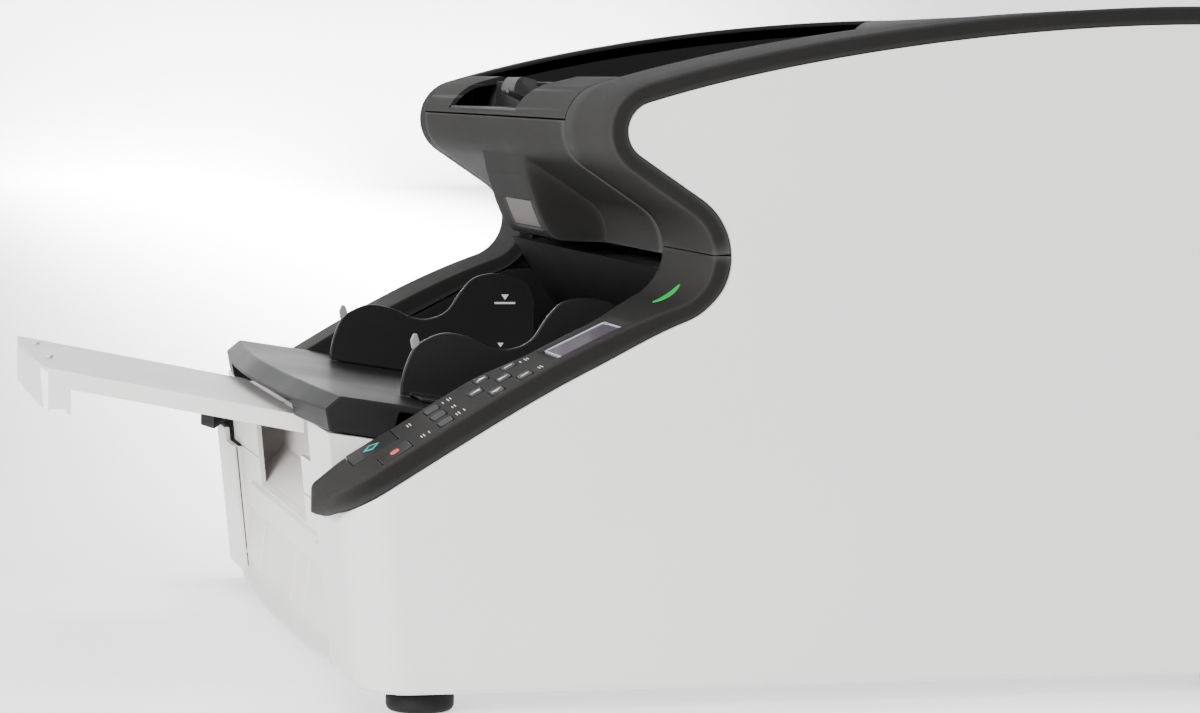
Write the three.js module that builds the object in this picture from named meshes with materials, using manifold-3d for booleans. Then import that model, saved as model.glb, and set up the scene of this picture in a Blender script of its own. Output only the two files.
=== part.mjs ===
// Sheet-fed document scanner with a front feed tray and a U-turn paper path to an eject tray on top.
// Millimetres. X runs across the machine (operator's right is +X), Y runs front to rear, +Z is up.
// Shapes are drawn with Z = 0 on the floor and Y = -280 at the tip of the control panel arm, and the
// finished group is shifted along Y so that the origin is the centre of the base.
import * as THREE from 'three';
import { mergeVertices } from 'three/addons/utils/BufferGeometryUtils.js';
import Module from 'manifold-3d';

const wasm = await Module();
wasm.setup();

// ---------------------------------------------------------------- driving dimensions
const HALF_WIDTH = 264; // outer face of each white side cover
const RIM_HALF = 262.5; // outer face of the black rim inside it
const SKIN = 3; // wall of the moulded covers
const GAP = 0.4; // running gap between neighbouring pieces
const FLOOR_CLEARANCE = 13; // height of the feet
const RIM_BAND = 9.5; // visible height of the black rim on the side
const ARM_INNER = 199; // inner edge of both arms beside the feed tray
const UNIT_LEFT = -242.5; // the opening upper unit spans these two X planes
const UNIT_RIGHT = 157;
const UNIT_GAP = 1.2; // side gap of the opening unit
const COVER_WRAP = 165; // the side covers wrap round the front as far as this
const LIP_Y = -280;
const LIP_SWEEP = 4.4; // the tip of the arm falls back this far towards its inner edge
const LIP_BOTTOM = 104.4;
const UNDER_START = -267; // behind this plane the arm's lower edge follows the ramp
const REAR_Y = 283;
const APEX = [210, 375]; // highest point of the rim
const THROAT = { y: -102.04, z: 238.8, r: 26.5 }; // concave turn between arm and head
const HEAD = { y: -106.76, z: 304.15, r: 25.3 }; // rounded front of the head
const ARM_SPLIT_Z = 240; // parting line between the arms and the head frames
const PATH_Z = 228; // level of the straight paper path
const TURN = { y: 165, z: 278, inner: 45, outer: 50 }; // U-turn behind the scan units
const UNIT_PIVOT = { y: 175, z: 350 };
const FEED_SLOPE = -0.154; // the feed platform falls towards the throat
const NOSE = { y: -267.9, topY: -259.7, topZ: 161.8, midZ: 155, bottomZ: 143.3, half: 196 };
const GUIDE_X = 118; // inner face of each guide from the centre line
const TRAY = { half: 118, rearY: -267, rearZ: 143.8, tipY: -410.4, tipZ: 171.5, wall: 9.5, leg: 24 };
const TRAY_PIVOT = { y: -284.5, z: 150 };
const LEVER_PIVOT = { y: -106.4, z: 317 };
const DOOR = { z0: 237, z1: 289.4, hingeZ: 238.4 };
const ROCKER = { x: 228, z: 52, half: 5.6, pivotY: 274 };
const PINION = { y: -72.5, z: 96, r: 10.5, teeth: 14 };
const PATH_LEFT = -196; // the paper guides span these two X planes
const PATH_RIGHT = 150;
const SCAN = { x0: -186, x1: 143, y0: -8, y1: 38 };
const ROLLER_STATIONS = [-50, -24, 118]; // separation, transport and exit rollers
const FRAME_RIGHT = 171; // sheet metal side frames that carry the shafts
const FRAME_LEFT = -236;
const LOWER_SHAFT_Z = 214.4;
const ARC_STEPS = 7;

// ---------------------------------------------------------------- solids
const AXES_X = new THREE.Matrix4().set(0, 0, 1, 0, 1, 0, 0, 0, 0, 1, 0, 0, 0, 0, 0, 1);
const AXES_Y = new THREE.Matrix4().set(0, 1, 0, 0, 0, 0, 1, 0, 1, 0, 0, 0, 0, 0, 0, 1);

function toSolid(geometry) {
  const bare = geometry.clone();
  bare.deleteAttribute('normal');
  bare.deleteAttribute('uv');
  const welded = mergeVertices(bare, 1e-4);
  const vertProperties = new Float32Array(welded.attributes.position.array);
  const triVerts = new Uint32Array(welded.index.array);
  return new wasm.Manifold(new wasm.Mesh({ numProp: 3, vertProperties, triVerts }));
}

function toGeometry(solid) {
  const mesh = solid.getMesh();
  const geometry = new THREE.BufferGeometry();
  geometry.setAttribute('position', new THREE.BufferAttribute(new Float32Array(mesh.vertProperties), 3));
  geometry.setIndex(new THREE.BufferAttribute(new Uint32Array(mesh.triVerts), 1));
  geometry.computeVertexNormals();
  return geometry;
}

function extrude(outline, depth) {
  const shape = new THREE.Shape(outline.map(([a, b]) => new THREE.Vector2(a, b)));
  return new THREE.ExtrudeGeometry(shape, { depth, bevelEnabled: false, steps: 1 });
}

// A prism along X of a (y, z) outline.
function prismX(outline, x0, x1) {
  const geometry = extrude(outline, x1 - x0).applyMatrix4(AXES_X).translate(x0, 0, 0);
  return toSolid(geometry);
}

// A prism along Y of an (x, z) outline.
function prismY(outline, y0, y1) {
  const swapped = outline.map(([x, z]) => [z, x]);
  const geometry = extrude(swapped, y1 - y0).applyMatrix4(AXES_Y).translate(0, y0, 0);
  return toSolid(geometry);
}

// A prism along Z of an (x, y) outline.
function prismZ(outline, z0, z1) {
  return toSolid(extrude(outline, z1 - z0).translate(0, 0, z0));
}

function block(x0, x1, y0, y1, z0, z1) {
  const geometry = new THREE.BoxGeometry(x1 - x0, y1 - y0, z1 - z0);
  geometry.translate((x0 + x1) / 2, (y0 + y1) / 2, (z0 + z1) / 2);
  return toSolid(geometry);
}

// A cylinder along X through (y, z).
function rodX(x0, x1, y, z, radius, sides = 20) {
  const geometry = new THREE.CylinderGeometry(radius, radius, x1 - x0, sides);
  geometry.rotateZ(-Math.PI / 2).translate((x0 + x1) / 2, y, z);
  return toSolid(geometry);
}

function join(...solids) {
  return solids.reduce((sum, solid) => sum.add(solid));
}

function cut(solid, ...tools) {
  return tools.reduce((rest, tool) => rest.subtract(tool), solid);
}

function mirrorX(solid) {
  const geometry = toGeometry(solid);
  geometry.scale(-1, 1, 1);
  const index = geometry.index.array;
  for (let i = 0; i < index.length; i += 3) {
    [index[i], index[i + 1]] = [index[i + 1], index[i]];
  }
  return toSolid(geometry);
}

function roundedRect(width, height, radius, steps = 3) {
  const points = [];
  const corners = [[1, -1, -90], [1, 1, 0], [-1, 1, 90], [-1, -1, 180]];
  for (const [sx, sy, start] of corners) {
    for (let i = 0; i <= steps; i += 1) {
      const a = THREE.MathUtils.degToRad(start + (90 * i) / steps);
      points.push([
        sx * (width / 2 - radius) + radius * Math.cos(a),
        sy * (height / 2 - radius) + radius * Math.sin(a),
      ]);
    }
  }
  return points;
}

// ---------------------------------------------------------------- side outline
function arcPoints(circle, fromDeg, toDeg, steps = ARC_STEPS) {
  const points = [];
  for (let i = 0; i <= steps; i += 1) {
    const a = THREE.MathUtils.degToRad(fromDeg + ((toDeg - fromDeg) * i) / steps);
    points.push([circle.y + circle.r * Math.cos(a), circle.z + circle.r * Math.sin(a)]);
  }
  return points;
}

function bezierPoints(p0, p1, p2, p3, steps) {
  const curve = new THREE.CubicBezierCurve(...[p0, p1, p2, p3].map(([a, b]) => new THREE.Vector2(a, b)));
  return curve.getPoints(steps).map((p) => [p.x, p.y]);
}

// The straight slant under the head touches the throat and head circles on opposite sides.
const SLANT_DEG = (() => {
  const dy = HEAD.y - THROAT.y;
  const dz = HEAD.z - THROAT.z;
  const centreLine = THREE.MathUtils.radToDeg(Math.atan2(dz, dy));
  return centreLine - THREE.MathUtils.radToDeg(Math.acos((HEAD.r + THROAT.r) / Math.hypot(dy, dz)));
})();
const THROAT_START_DEG = -70;
const HEAD_END_DEG = 107.5;

const throatArc = arcPoints(THROAT, THROAT_START_DEG, SLANT_DEG, 2 * ARC_STEPS);
const headArc = arcPoints(HEAD, SLANT_DEG + 180, HEAD_END_DEG, ARC_STEPS);
const rampCurve = bezierPoints([LIP_Y, 112.5], [-219, 147.4], [-163, 188.9], throatArc[0], 9);
const topCurve = bezierPoints(headArc.at(-1), [-22.2, 357.4], [112.6, APEX[1]], APEX, 9);
const rearCurve = bezierPoints(APEX, [250, APEX[1]], [REAR_Y, 350], [REAR_Y, 305], 6);
// The whole rim, from the tip of the arm up over the head to the rear.
const RIM = [
  ...rampCurve, ...throatArc.slice(1), ...headArc,
  ...topCurve.slice(1), ...rearCurve.slice(1), [REAR_Y, 240],
];

// Shift an open outline sideways; positive distances go to the right of its direction of travel.
// The distance is a number, or a function of the point.
function offsetOutline(points, distance) {
  return points.map(([a, b], i) => {
    const [a0, b0] = points[Math.max(i - 1, 0)];
    const [a1, b1] = points[Math.min(i + 1, points.length - 1)];
    const shift = (typeof distance === 'number' ? distance : distance(a, b)) / Math.hypot(a1 - a0, b1 - b0);
    return [a + shift * (b1 - b0), b - shift * (a1 - a0)];
  });
}

// The band is taller along the arms than round the throat and the head.
function bandDepth(extra) {
  const { smoothstep } = THREE.MathUtils;
  return (y, z) => {
    const alongArm = 3 * (1 - smoothstep(y, -145, -88)) - 0.9 * (1 - smoothstep(y, -84, -75.6));
    return RIM_BAND + extra + (z > ARM_SPLIT_Z ? 0 : alongArm);
  };
}

// A strip that follows part of an outline, between two depths under it.
function strip(points, outer, inner) {
  return [...offsetOutline(points, outer), ...offsetOutline(points, inner).reverse()];
}

function rampHeight(y) {
  const i = RIM.findIndex(([a]) => a >= y);
  const [y0, z0] = RIM[i - 1];
  const [y1, z1] = RIM[i];
  return { z: z0 + ((z1 - z0) * (y - y0)) / (y1 - y0), tilt: Math.atan2(z1 - z0, y1 - y0) };
}

function topHeight(y) {
  const i = RIM.findIndex(([a, b]) => a >= y && b > 325);
  const [y0, z0] = RIM[i - 1];
  const [y1, z1] = RIM[i];
  return z0 + ((z1 - z0) * (y - y0)) / (y1 - y0);
}

// The rim is parted at the throat; neither half keeps a point closer than 1 mm to the parting line.
function throatPoint(z) {
  return [THROAT.y + Math.sqrt(THROAT.r ** 2 - (z - THROAT.z) ** 2), z];
}
const headStart = RIM.findIndex(([, z]) => z > ARM_SPLIT_Z + 1);
const armRim = [
  ...RIM.filter(([, z], i) => i < headStart && z < ARM_SPLIT_Z - 1), throatPoint(ARM_SPLIT_Z - GAP / 2),
];
const headRim = [throatPoint(ARM_SPLIT_Z + GAP / 2), ...RIM.slice(headStart)];

// Front faces lean back towards the floor.
const coverFront = (z) => -272.5 + (141.9 - z) * 0.108;
const facePlane = (z) => -266.5 + (143 - z) * 0.1;
const platformTop = (y) => NOSE.topZ + FEED_SLOPE * (y - NOSE.topY);

// ---------------------------------------------------------------- materials
const material = (color, roughness, metalness = 0) =>
  new THREE.MeshStandardMaterial({ color, roughness, metalness });
const MATERIALS = {
  whiteShell: material(0xdedbd8, 0.45),
  blackShell: material(0x3d3b3a, 0.5),
  blackGloss: material(0x1d1c1c, 0.25),
  blackInner: material(0x201f1f, 0.7),
  button: material(0x4a4847, 0.5),
  lcd: material(0x544a58, 0.1),
  lamp: material(0x20b35a, 0.3),
  window: material(0x9a928e, 0.3),
  steel: material(0xb4b6b8, 0.35, 0.9),
  rubber: material(0x1a1a1a, 0.85),
  board: material(0x1d5a34, 0.6),
  motor: material(0x6b6d70, 0.4, 0.8),
};

const scanner = new THREE.Group();

function addPiece(name, solid, finish, parent = scanner) {
  const geometry = solid.isBufferGeometry ? solid : toGeometry(solid);
  const mesh = new THREE.Mesh(geometry, MATERIALS[finish].clone());
  mesh.name = name;
  parent.add(mesh);
  return mesh;
}

// ---------------------------------------------------------------- white shell
// Plan view of a side cover with its rounded front corner; the front is sheared to lean back.
function coverPlan(inset) {
  const radius = 28 - inset;
  const edge = HALF_WIDTH - inset;
  const corner = [];
  for (let i = 0; i <= ARC_STEPS; i += 1) {
    const a = THREE.MathUtils.degToRad(-90 + (90 * i) / ARC_STEPS);
    corner.push([edge - radius + radius * Math.cos(a), inset + radius + radius * Math.sin(a)]);
  }
  return [[COVER_WRAP - inset * 2, inset], ...corner, [edge, 600], [COVER_WRAP - inset * 2, 600]];
}

function coverBlock(inset) {
  const geometry = extrude(coverPlan(inset), 400);
  const lean = new THREE.Matrix4().set(1, 0, 0, 0, 0, 1, -0.108, coverFront(0), 0, 0, 1, 0, 0, 0, 0, 1);
  return toSolid(geometry.applyMatrix4(lean));
}

function sideCoverSolid() {
  const panelEdge = offsetOutline(RIM, bandDepth(GAP)).filter(([y, z]) => y > UNDER_START || z > 240);
  const base = FLOOR_CLEARANCE;
  const top = LIP_BOTTOM - 0.6;
  const outline = [[-300, base], [-300, top], [-270.8, top], ...panelEdge.slice(0, -1),
    [REAR_Y - RIM_BAND - GAP, 239.4], [REAR_Y, 239.4], [REAR_Y, base]];
  const inner = [
    [-300, 0], [-300, top - SKIN], [-268, top - SKIN], ...offsetOutline(panelEdge, SKIN), [REAR_Y + 9, 0],
  ];
  const outer = prismX(outline, COVER_WRAP, HALF_WIDTH).intersect(coverBlock(0));
  const hollow = prismX(inner, COVER_WRAP + 2, HALF_WIDTH - SKIN).intersect(coverBlock(SKIN));
  const flangeCut = block(COVER_WRAP - 9, HALF_WIDTH - SKIN, -241, REAR_Y + 9, 0, 400);
  const pillarCut = block(COVER_WRAP - 9, ARM_INNER - 0.6, -300, -200, 97, 200);
  return cut(outer, hollow, flangeCut, pillarCut);
}

function frontCoverSolid() {
  const top = 142.4;
  const shoulder = 97.6;
  const back = -216;
  const wedge = (inset, z0, z1) => [
    [facePlane(z0) + inset, z0], [back - inset, z0],
    [back - inset, z1 + (z1 > shoulder + SKIN ? FEED_SLOPE * (back - facePlane(z1)) : 0)],
    [facePlane(z1) + inset, z1],
  ];
  const low = COVER_WRAP - GAP;
  const high = ARM_INNER - 1;
  const shell = join(
    prismX(wedge(0, 60, shoulder + SKIN), -low, low),
    prismX(wedge(0, shoulder, top), -high, high),
  );
  const hollow = join(
    prismX(wedge(SKIN, 59, shoulder + 12), -low + SKIN, low - SKIN),
    prismX(wedge(SKIN, shoulder + SKIN, top - SKIN), -high + SKIN, high - SKIN),
  );
  const scoop = (inset) => join(
    prismX([[-300, 78 - inset], [-262, 80 - inset], [-241 + inset, 101 - inset], [-241 + inset, 150],
      [-300, 150]], -88 - inset, 88 + inset),
    prismX([[-300, 119 - inset], [-241 + inset, 119 - inset], [-241 + inset, 150], [-300, 150]],
      -124 - inset, 124 + inset),
  );
  const face = prismX(wedge(0, 60, top), -high, high);
  return cut(join(cut(shell, hollow), scoop(SKIN).intersect(face)), scoop(0));
}

// The lower front panel leans outwards over a bowed shelf and carries three thin upright ribs.
function lowerPanelSolid() {
  const half = COVER_WRAP - GAP;
  const profile = [
    [-253, 59.4], [-255.2, 59.4], [-258.6, 28], [-266, 17], [-265, 13.2], [-249, 13.2], [-249, 28],
  ];
  const bow = [];
  for (let i = 0; i <= 12; i += 1) {
    const x = -half + (2 * half * i) / 12;
    bow.push([x, -257.5 - 7 * (1 - (x / half) ** 2)]);
  }
  const plan = prismZ([...bow, [half, -240], [-half, -240]], 0, 80);
  const ribs = [-96, 29, 76].map((x) => prismX(
    [[-255, 57], [-256.3, 57], [-259.4, 30], [-257, 30]], x, x + 1.6));
  return join(prismX(profile, -half, half).intersect(plan), ...ribs);
}

function rearCoverSolid() {
  const half = HALF_WIDTH - SKIN - GAP;
  const y = REAR_Y - SKIN;
  const plate = block(-half, half, y, REAR_Y, FLOOR_CLEARANCE + 6, 236);
  const slots = [];
  for (let column = 0; column < 2; column += 1) {
    for (let row = 0; row < 6; row += 1) {
      const x = -205 + column * 70;
      slots.push(block(x, x + 55, y - 1, REAR_Y + 1, 60 + row * 14, 66 + row * 14));
    }
  }
  const inlet = block(174, 204, y - 1, REAR_Y + 1, 44, 66);
  const rocker = block(219, 237, y - 1, REAR_Y + 1, 44, 60);
  const data = block(120, 134, y - 1, REAR_Y + 1, 46, 58);
  return cut(plate, inlet, rocker, data, ...slots);
}

// Removable door behind the U-turn; it swings out about its lower edge.
function rearDoorSolid() {
  const plate = block(UNIT_LEFT + 0.4, UNIT_RIGHT - 0.4, REAR_Y - SKIN, REAR_Y, DOOR.z0, DOOR.z1);
  const stiffener = block(
    UNIT_LEFT + 8, UNIT_RIGHT - 8, REAR_Y - 9, REAR_Y - SKIN + 1, DOOR.z0 + 14, DOOR.z0 + 17);
  const grip = block(-70, -10, REAR_Y - 1.4, REAR_Y + 1, DOOR.z1 - 10, DOOR.z1 + 1);
  return cut(join(plate, stiffener), grip);
}

function powerInletSolid() {
  const body = block(174.4, 203.6, REAR_Y - 26, REAR_Y, 44.4, 65.6);
  const socket = block(177.5, 200.5, REAR_Y - 18, REAR_Y + 1, 48, 62);
  const pins = [183, 189, 195].map((x, i) => {
    const z = 53 + 2 * (i % 2);
    return block(x - 0.9, x + 0.9, REAR_Y - 20, REAR_Y - 5, z, z + 4.6);
  });
  return join(cut(body, socket), ...pins);
}

function rockerSolid() {
  const { x, z, half, pivotY } = ROCKER;
  const outline = [[pivotY - 3, z - half], [REAR_Y - 2.6, z - half], [REAR_Y - 3.4, z], [REAR_Y, z + half],
    [pivotY - 3, z + half]];
  return prismX(outline, x - 8.4, x + 8.4);
}

function rearTopCoverSolid() {
  const from = RIM.findIndex(([y, z]) => y > 192 && z > 300);
  const arc = [[189, topHeight(189)], ...RIM.slice(from, -1), [REAR_Y, 290]];
  return prismX(strip(arc, 0.5, SKIN + 0.5), UNIT_LEFT + 0.2, UNIT_RIGHT - 0.5);
}

function basePanSolid() {
  const x = HALF_WIDTH - SKIN - 1;
  const z = FLOOR_CLEARANCE + 0.2;
  const plan = (inset) => {
    const side = x - inset;
    const rear = REAR_Y - SKIN - 1 - inset;
    return [[14 - x, inset - 241], [x - 14, inset - 241], [side, inset - 228], [side, rear], [-side, rear],
      [-side, inset - 228]];
  };
  return cut(prismZ(plan(0), z, z + 18), prismZ(plan(2), z + 3, z + 30));
}

function footSolid() {
  const profile = [[0, 0], [15, 0], [17.2, 1], [18, 3.4], [18, FLOOR_CLEARANCE], [0, FLOOR_CLEARANCE]];
  const geometry = new THREE.LatheGeometry(profile.map(([r, z]) => new THREE.Vector2(r, z)), 24);
  return toSolid(geometry.rotateX(Math.PI / 2));
}

// ---------------------------------------------------------------- black rim, arms and head frames
// The panel on the arm rises slightly towards its inner edge.
function crown(x, y) {
  const rise = THREE.MathUtils.smoothstep(y, -283, -256) * (1 - THREE.MathUtils.smoothstep(y, -196, -156));
  return (4 * rise * (RIM_HALF - Math.abs(x))) / (RIM_HALF - ARM_INNER);
}

function crownedPrism(outline, x0, x1) {
  const geometry = extrude(outline, x1 - x0).applyMatrix4(AXES_X).translate(x0, 0, 0);
  const position = geometry.attributes.position;
  for (let i = 0; i < position.count; i += 1) {
    position.setZ(i, position.getZ(i) + crown(position.getX(i), position.getY(i)));
  }
  return toSolid(geometry);
}

// The right arm widens in the throat until it meets the opening unit; the left one stays straight.
function armPlan(inset, meetsUnit) {
  const radius = 36 - inset;
  const edge = RIM_HALF - inset;
  const widening = meetsUnit
    ? [[UNIT_RIGHT + UNIT_GAP, -74], [UNIT_RIGHT + UNIT_GAP + 3, -82], [176, -93], [190, -111]] : [];
  const inner = [[ARM_INNER, 0], ...widening, [ARM_INNER, -126], [ARM_INNER, LIP_Y + LIP_SWEEP + inset]];
  if (meetsUnit) {
    inner[0] = [UNIT_RIGHT + UNIT_GAP, 0];
  }
  const points = inner.map(([x, y]) => [x + inset, y]);
  for (let i = 0; i <= ARC_STEPS; i += 1) {
    const a = THREE.MathUtils.degToRad(-90 + (90 * i) / ARC_STEPS);
    points.push([edge - radius + radius * Math.cos(a), LIP_Y + inset + radius + radius * Math.sin(a)]);
  }
  return [...points, [edge, 0]];
}

function armSolid(meetsUnit) {
  const under = offsetOutline(armRim, bandDepth(0)).filter(([y]) => y > UNDER_START).reverse();
  const outline = [...armRim, ...under, [-269.8, LIP_BOTTOM], [LIP_Y + 1, LIP_BOTTOM]];
  const deepUnder = offsetOutline(armRim, RIM_BAND + 11).filter(([y]) => y > -240).reverse();
  const roof = offsetOutline(armRim, 2.6).filter(([y]) => y > LIP_Y + 4);
  const inner = [...roof, ...deepUnder, [-262, 90], [LIP_Y + 4, 90]];
  const body = crownedPrism(outline, UNIT_RIGHT, RIM_HALF).intersect(prismZ(armPlan(0, meetsUnit), 0, 400));
  const hollow = crownedPrism(inner, UNIT_RIGHT, RIM_HALF - 2.5).intersect(
    prismZ(armPlan(2.6, meetsUnit), 0, 400));
  return cut(body, hollow);
}

function headFrameSolid(inner) {
  const side = prismX(strip(headRim, 0, RIM_BAND - 0.3), RIM_HALF - 2.5, RIM_HALF);
  const skin = prismX(strip(headRim, 0, SKIN), inner, RIM_HALF);
  const basin = headRim.filter(([y, z]) => z > 290 && y > -131);
  const wallOutline = [...offsetOutline(basin, 1), [REAR_Y - 1, 262], [150, 262], [-90, 290]];
  const wall = prismX(wallOutline, inner, inner + 2.6);
  const shaftHole = rodX(inner - 5, inner + 8, UNIT_PIVOT.y, UNIT_PIVOT.z, 5.08, 24);
  return cut(join(side, skin, wall), shaftHole);
}

// ---------------------------------------------------------------- controls on the right arm
function onArm(x, y, sink = 0) {
  const { z, tilt } = rampHeight(y);
  const anchor = new THREE.Group();
  anchor.position.set(x, y, z + crown(x, y));
  anchor.rotation.order = 'YXZ';
  anchor.rotation.set(tilt, Math.atan2(crown(x, y) - crown(x + 1, y), 1), 0);
  anchor.translateZ(-sink);
  anchor.updateMatrix();
  return anchor;
}

const BUTTON_DEPTH = 5.2;
const BUTTON_PROUD = 1.1;
const BUTTONS = [
  { name: 'start_button', x: 213, y: -246, width: 27, length: 27 },
  { name: 'stop_button', x: 248.5, y: -240, width: 18, length: 18 },
  { name: 'function_button_1', x: 212, y: -214, width: 12.5, length: 8 },
  { name: 'function_button_2', x: 231, y: -214, width: 12.5, length: 8 },
  { name: 'function_button_3', x: 250, y: -214, width: 11, length: 8 },
  { name: 'menu_button', x: 210.5, y: -187.4, width: 12, length: 7.5 },
  { name: 'up_button', x: 230, y: -194.2, width: 12, length: 7.5 },
  { name: 'down_button', x: 231.5, y: -179.8, width: 12, length: 7.5 },
  { name: 'back_button', x: 250.5, y: -187.4, width: 12, length: 7.5 },
  { name: 'left_button', x: 210.5, y: -172.6, width: 12, length: 7.5 },
  { name: 'enter_button', x: 250.5, y: -172.6, width: 12, length: 7.5 },
];

function buttonCap({ width, length }, grow, depth) {
  const plan = roundedRect(width + grow, length + grow, 2.2, 2);
  return extrude(plan, depth).translate(0, 0, BUTTON_PROUD - depth);
}

const LCD = { x: 228, y: -137, width: 50, length: 48, windowWidth: 42, windowLength: 36 };
const LAMP = { x: 217.5, y: -88, width: 9, length: 20 };

function anchoredTool(geometry, anchor) {
  return toSolid(geometry.clone().applyMatrix4(anchor.matrix));
}

function controlArmSolid() {
  const holes = BUTTONS.map((button) => anchoredTool(
    buttonCap(button, 2 * GAP, 12).translate(0, 0, 5), onArm(button.x, button.y)));
  const bezel = extrude(roundedRect(LCD.width, LCD.length, 3), 12).translate(0, 0, -1.4);
  const opening = extrude(roundedRect(LCD.windowWidth, LCD.windowLength, 2), 12).translate(0, 0, -6);
  const lampHole = extrude(roundedRect(LAMP.width, LAMP.length, 3), 12).translate(0, 0, -6);
  return cut(armSolid(true), ...holes,
    anchoredTool(bezel, onArm(LCD.x, LCD.y)), anchoredTool(opening, onArm(LCD.x, LCD.y)),
    anchoredTool(lampHole, onArm(LAMP.x, LAMP.y)));
}

// ---------------------------------------------------------------- feed side
function feederBedSolid() {
  const x = ARM_INNER + GAP;
  const wall = 2.4;
  const bottom = 72;
  const back = [[-50, bottom], [-50, 180], [-82.2, 228.7], [-77.2, 228.7], [-45.5, 181], [-45.5, bottom]];
  const ramp = offsetOutline(armRim, bandDepth(1)).filter(([y, z]) => y > -208 && z < 210);
  const side = [[-212, bottom], [-212, 142], ...ramp, [-44, 210], [-44, bottom]];
  const floor = block(-x - wall, x + wall, -212, -44, bottom, bottom + wall);
  const rackSlots = [-1, 1].map((s) => block(s * 180 - 6, s * 180 + 6, -64, -52, bottom - 1, bottom + 4));
  const shaftHole = rodX(x - 2, x + wall + 2, PINION.y, PINION.z, 4.5);
  const besideArms = [[156, 260], [-260, -ARM_INNER + GAP]].map(
    ([x0, x1]) => block(x0, x1, -100, -60, 208, 260));
  return cut(join(prismX(side, x, x + wall), prismX(side, -x - wall, -x), prismX(back, -x, x), floor),
    ...rackSlots, shaftHole, ...besideArms);
}

function rackTeeth(x) {
  const pitch = (2 * Math.PI * PINION.r) / PINION.teeth;
  const root = PINION.y + PINION.r + 1.8;
  const outline = [[root + 5, 35], [root + 5, 128], [root, 128]];
  for (let z = PINION.z + pitch * 6; z > 38; z -= pitch) {
    outline.push([root, z - pitch * 0.3]);
    outline.push([root - 2.6, z - pitch * 0.42]);
    outline.push([root - 2.6, z - pitch * 0.58]);
    outline.push([root, z - pitch * 0.7]);
  }
  outline.push([root, 35]);
  return prismX(outline, x - 4, x + 4);
}

function nosePlan() {
  const front = [];
  for (let i = 0; i <= 12; i += 1) {
    const x = -NOSE.half + (2 * NOSE.half * i) / 12;
    front.push([x, NOSE.y - 12 * (1 - (x / NOSE.half) ** 2)]);
  }
  return [...front, [NOSE.half, -40], [-NOSE.half, -40]];
}

function platformSolid() {
  const bow = 12;
  const rear = -66;
  const plate = 4;
  const under = (y) => NOSE.bottomZ + FEED_SLOPE * (y + 265.7);
  const outline = [
    [NOSE.topY - bow, platformTop(NOSE.topY - bow)], [rear, platformTop(rear)],
    [rear, platformTop(rear) - plate], [-228, platformTop(-228) - plate], [-232, under(-232)],
    [-265.7 - bow, under(-265.7 - bow)], [NOSE.y - bow, NOSE.midZ],
  ];
  const body = prismX(outline, -NOSE.half, NOSE.half).intersect(prismZ(nosePlan(), 100, 200));
  const traySpace = block(-120.5, 120.5, -300, -262, 130, 153);
  const tongues = [-1, 1].map((s) => join(
    prismX([[rear - 4, platformTop(rear) - 0.2], [-55.4, platformTop(-55) - 0.6], [-55.4, 124],
    [rear - 4, 124]],
      s * 180 - 4, s * 180 + 4),
    rackTeeth(s * 180)));
  return join(cut(body, traySpace), ...tongues);
}

// Side guide: a fin with two humps and a dip between them, on a flat foot.
function guideSolid() {
  const humps = new THREE.SplineCurve([
    [-211.5, 170.3], [-207, 180.4], [-199.8, 186], [-188.6, 189.6], [-174.5, 186.9],
    [-163, 181.6], [-151.6, 180.6],
    [-140.3, 185.6], [-132, 197.4], [-123.6, 206], [-112.1, 208.9], [-98, 207.4], [-88.5, 202.5],
    [-84, 193],
  ].map(([y, z]) => new THREE.Vector2(y, z)));
  const top = humps.getPoints(30).map((p) => [p.x, p.y]);
  const rest = (y) => platformTop(y) + GAP;
  const outline = [[-214.7, rest(-214.7)], ...top, [-84, rest(-84)]];
  const foot = [[-208, rest(-208)], [-208, rest(-208) + 2.2], [-88, rest(-88) + 2.2], [-88, rest(-88)]];
  const fin = prismX(outline, GUIDE_X, GUIDE_X + 3.6);
  const tabOutline = [[-212.5, 181], [-208.6, 189], [-205.4, 188], [-205, 178]];
  const tab = prismX(tabOutline, GUIDE_X + 0.4, GUIDE_X + 3.2);
  return join(fin, tab, prismX(foot, GUIDE_X + 1, GUIDE_X + 34));
}

function trayPoint(t, depth = 0) {
  const y = TRAY.rearY + (TRAY.tipY - TRAY.rearY) * t;
  const z = TRAY.rearZ + (TRAY.tipZ - TRAY.rearZ) * t;
  return [y, z - depth];
}

function traySolid() {
  const outline = [trayPoint(0), trayPoint(1), trayPoint(0.99, TRAY.leg), trayPoint(0.9, TRAY.leg - 1),
    trayPoint(0.894, TRAY.wall), trayPoint(0, TRAY.wall)];
  const hollow = [trayPoint(0.04, 2.5), trayPoint(0.984, 2.5), trayPoint(0.974, 40), trayPoint(0.04, 40)];
  const bow = [];
  for (let i = 0; i <= 12; i += 1) {
    const x = -TRAY.half + (2 * TRAY.half * i) / 12;
    bow.push([x, TRAY.tipY + 4.5 * (x / TRAY.half) ** 2]);
  }
  const plan = prismZ([...bow, [TRAY.half, -260], [-TRAY.half, -260]], 100, 250);
  const shell = cut(prismX(outline, -TRAY.half, TRAY.half),
    prismX(hollow, -TRAY.half + 2.5, TRAY.half - 2.5)).intersect(plan);
  const pinSeat = rodX(-TRAY.half + 1, TRAY.half - 1, TRAY_PIVOT.y, TRAY_PIVOT.z - 8.4, 4, 12);
  return join(shell, pinSeat);
}

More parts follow.
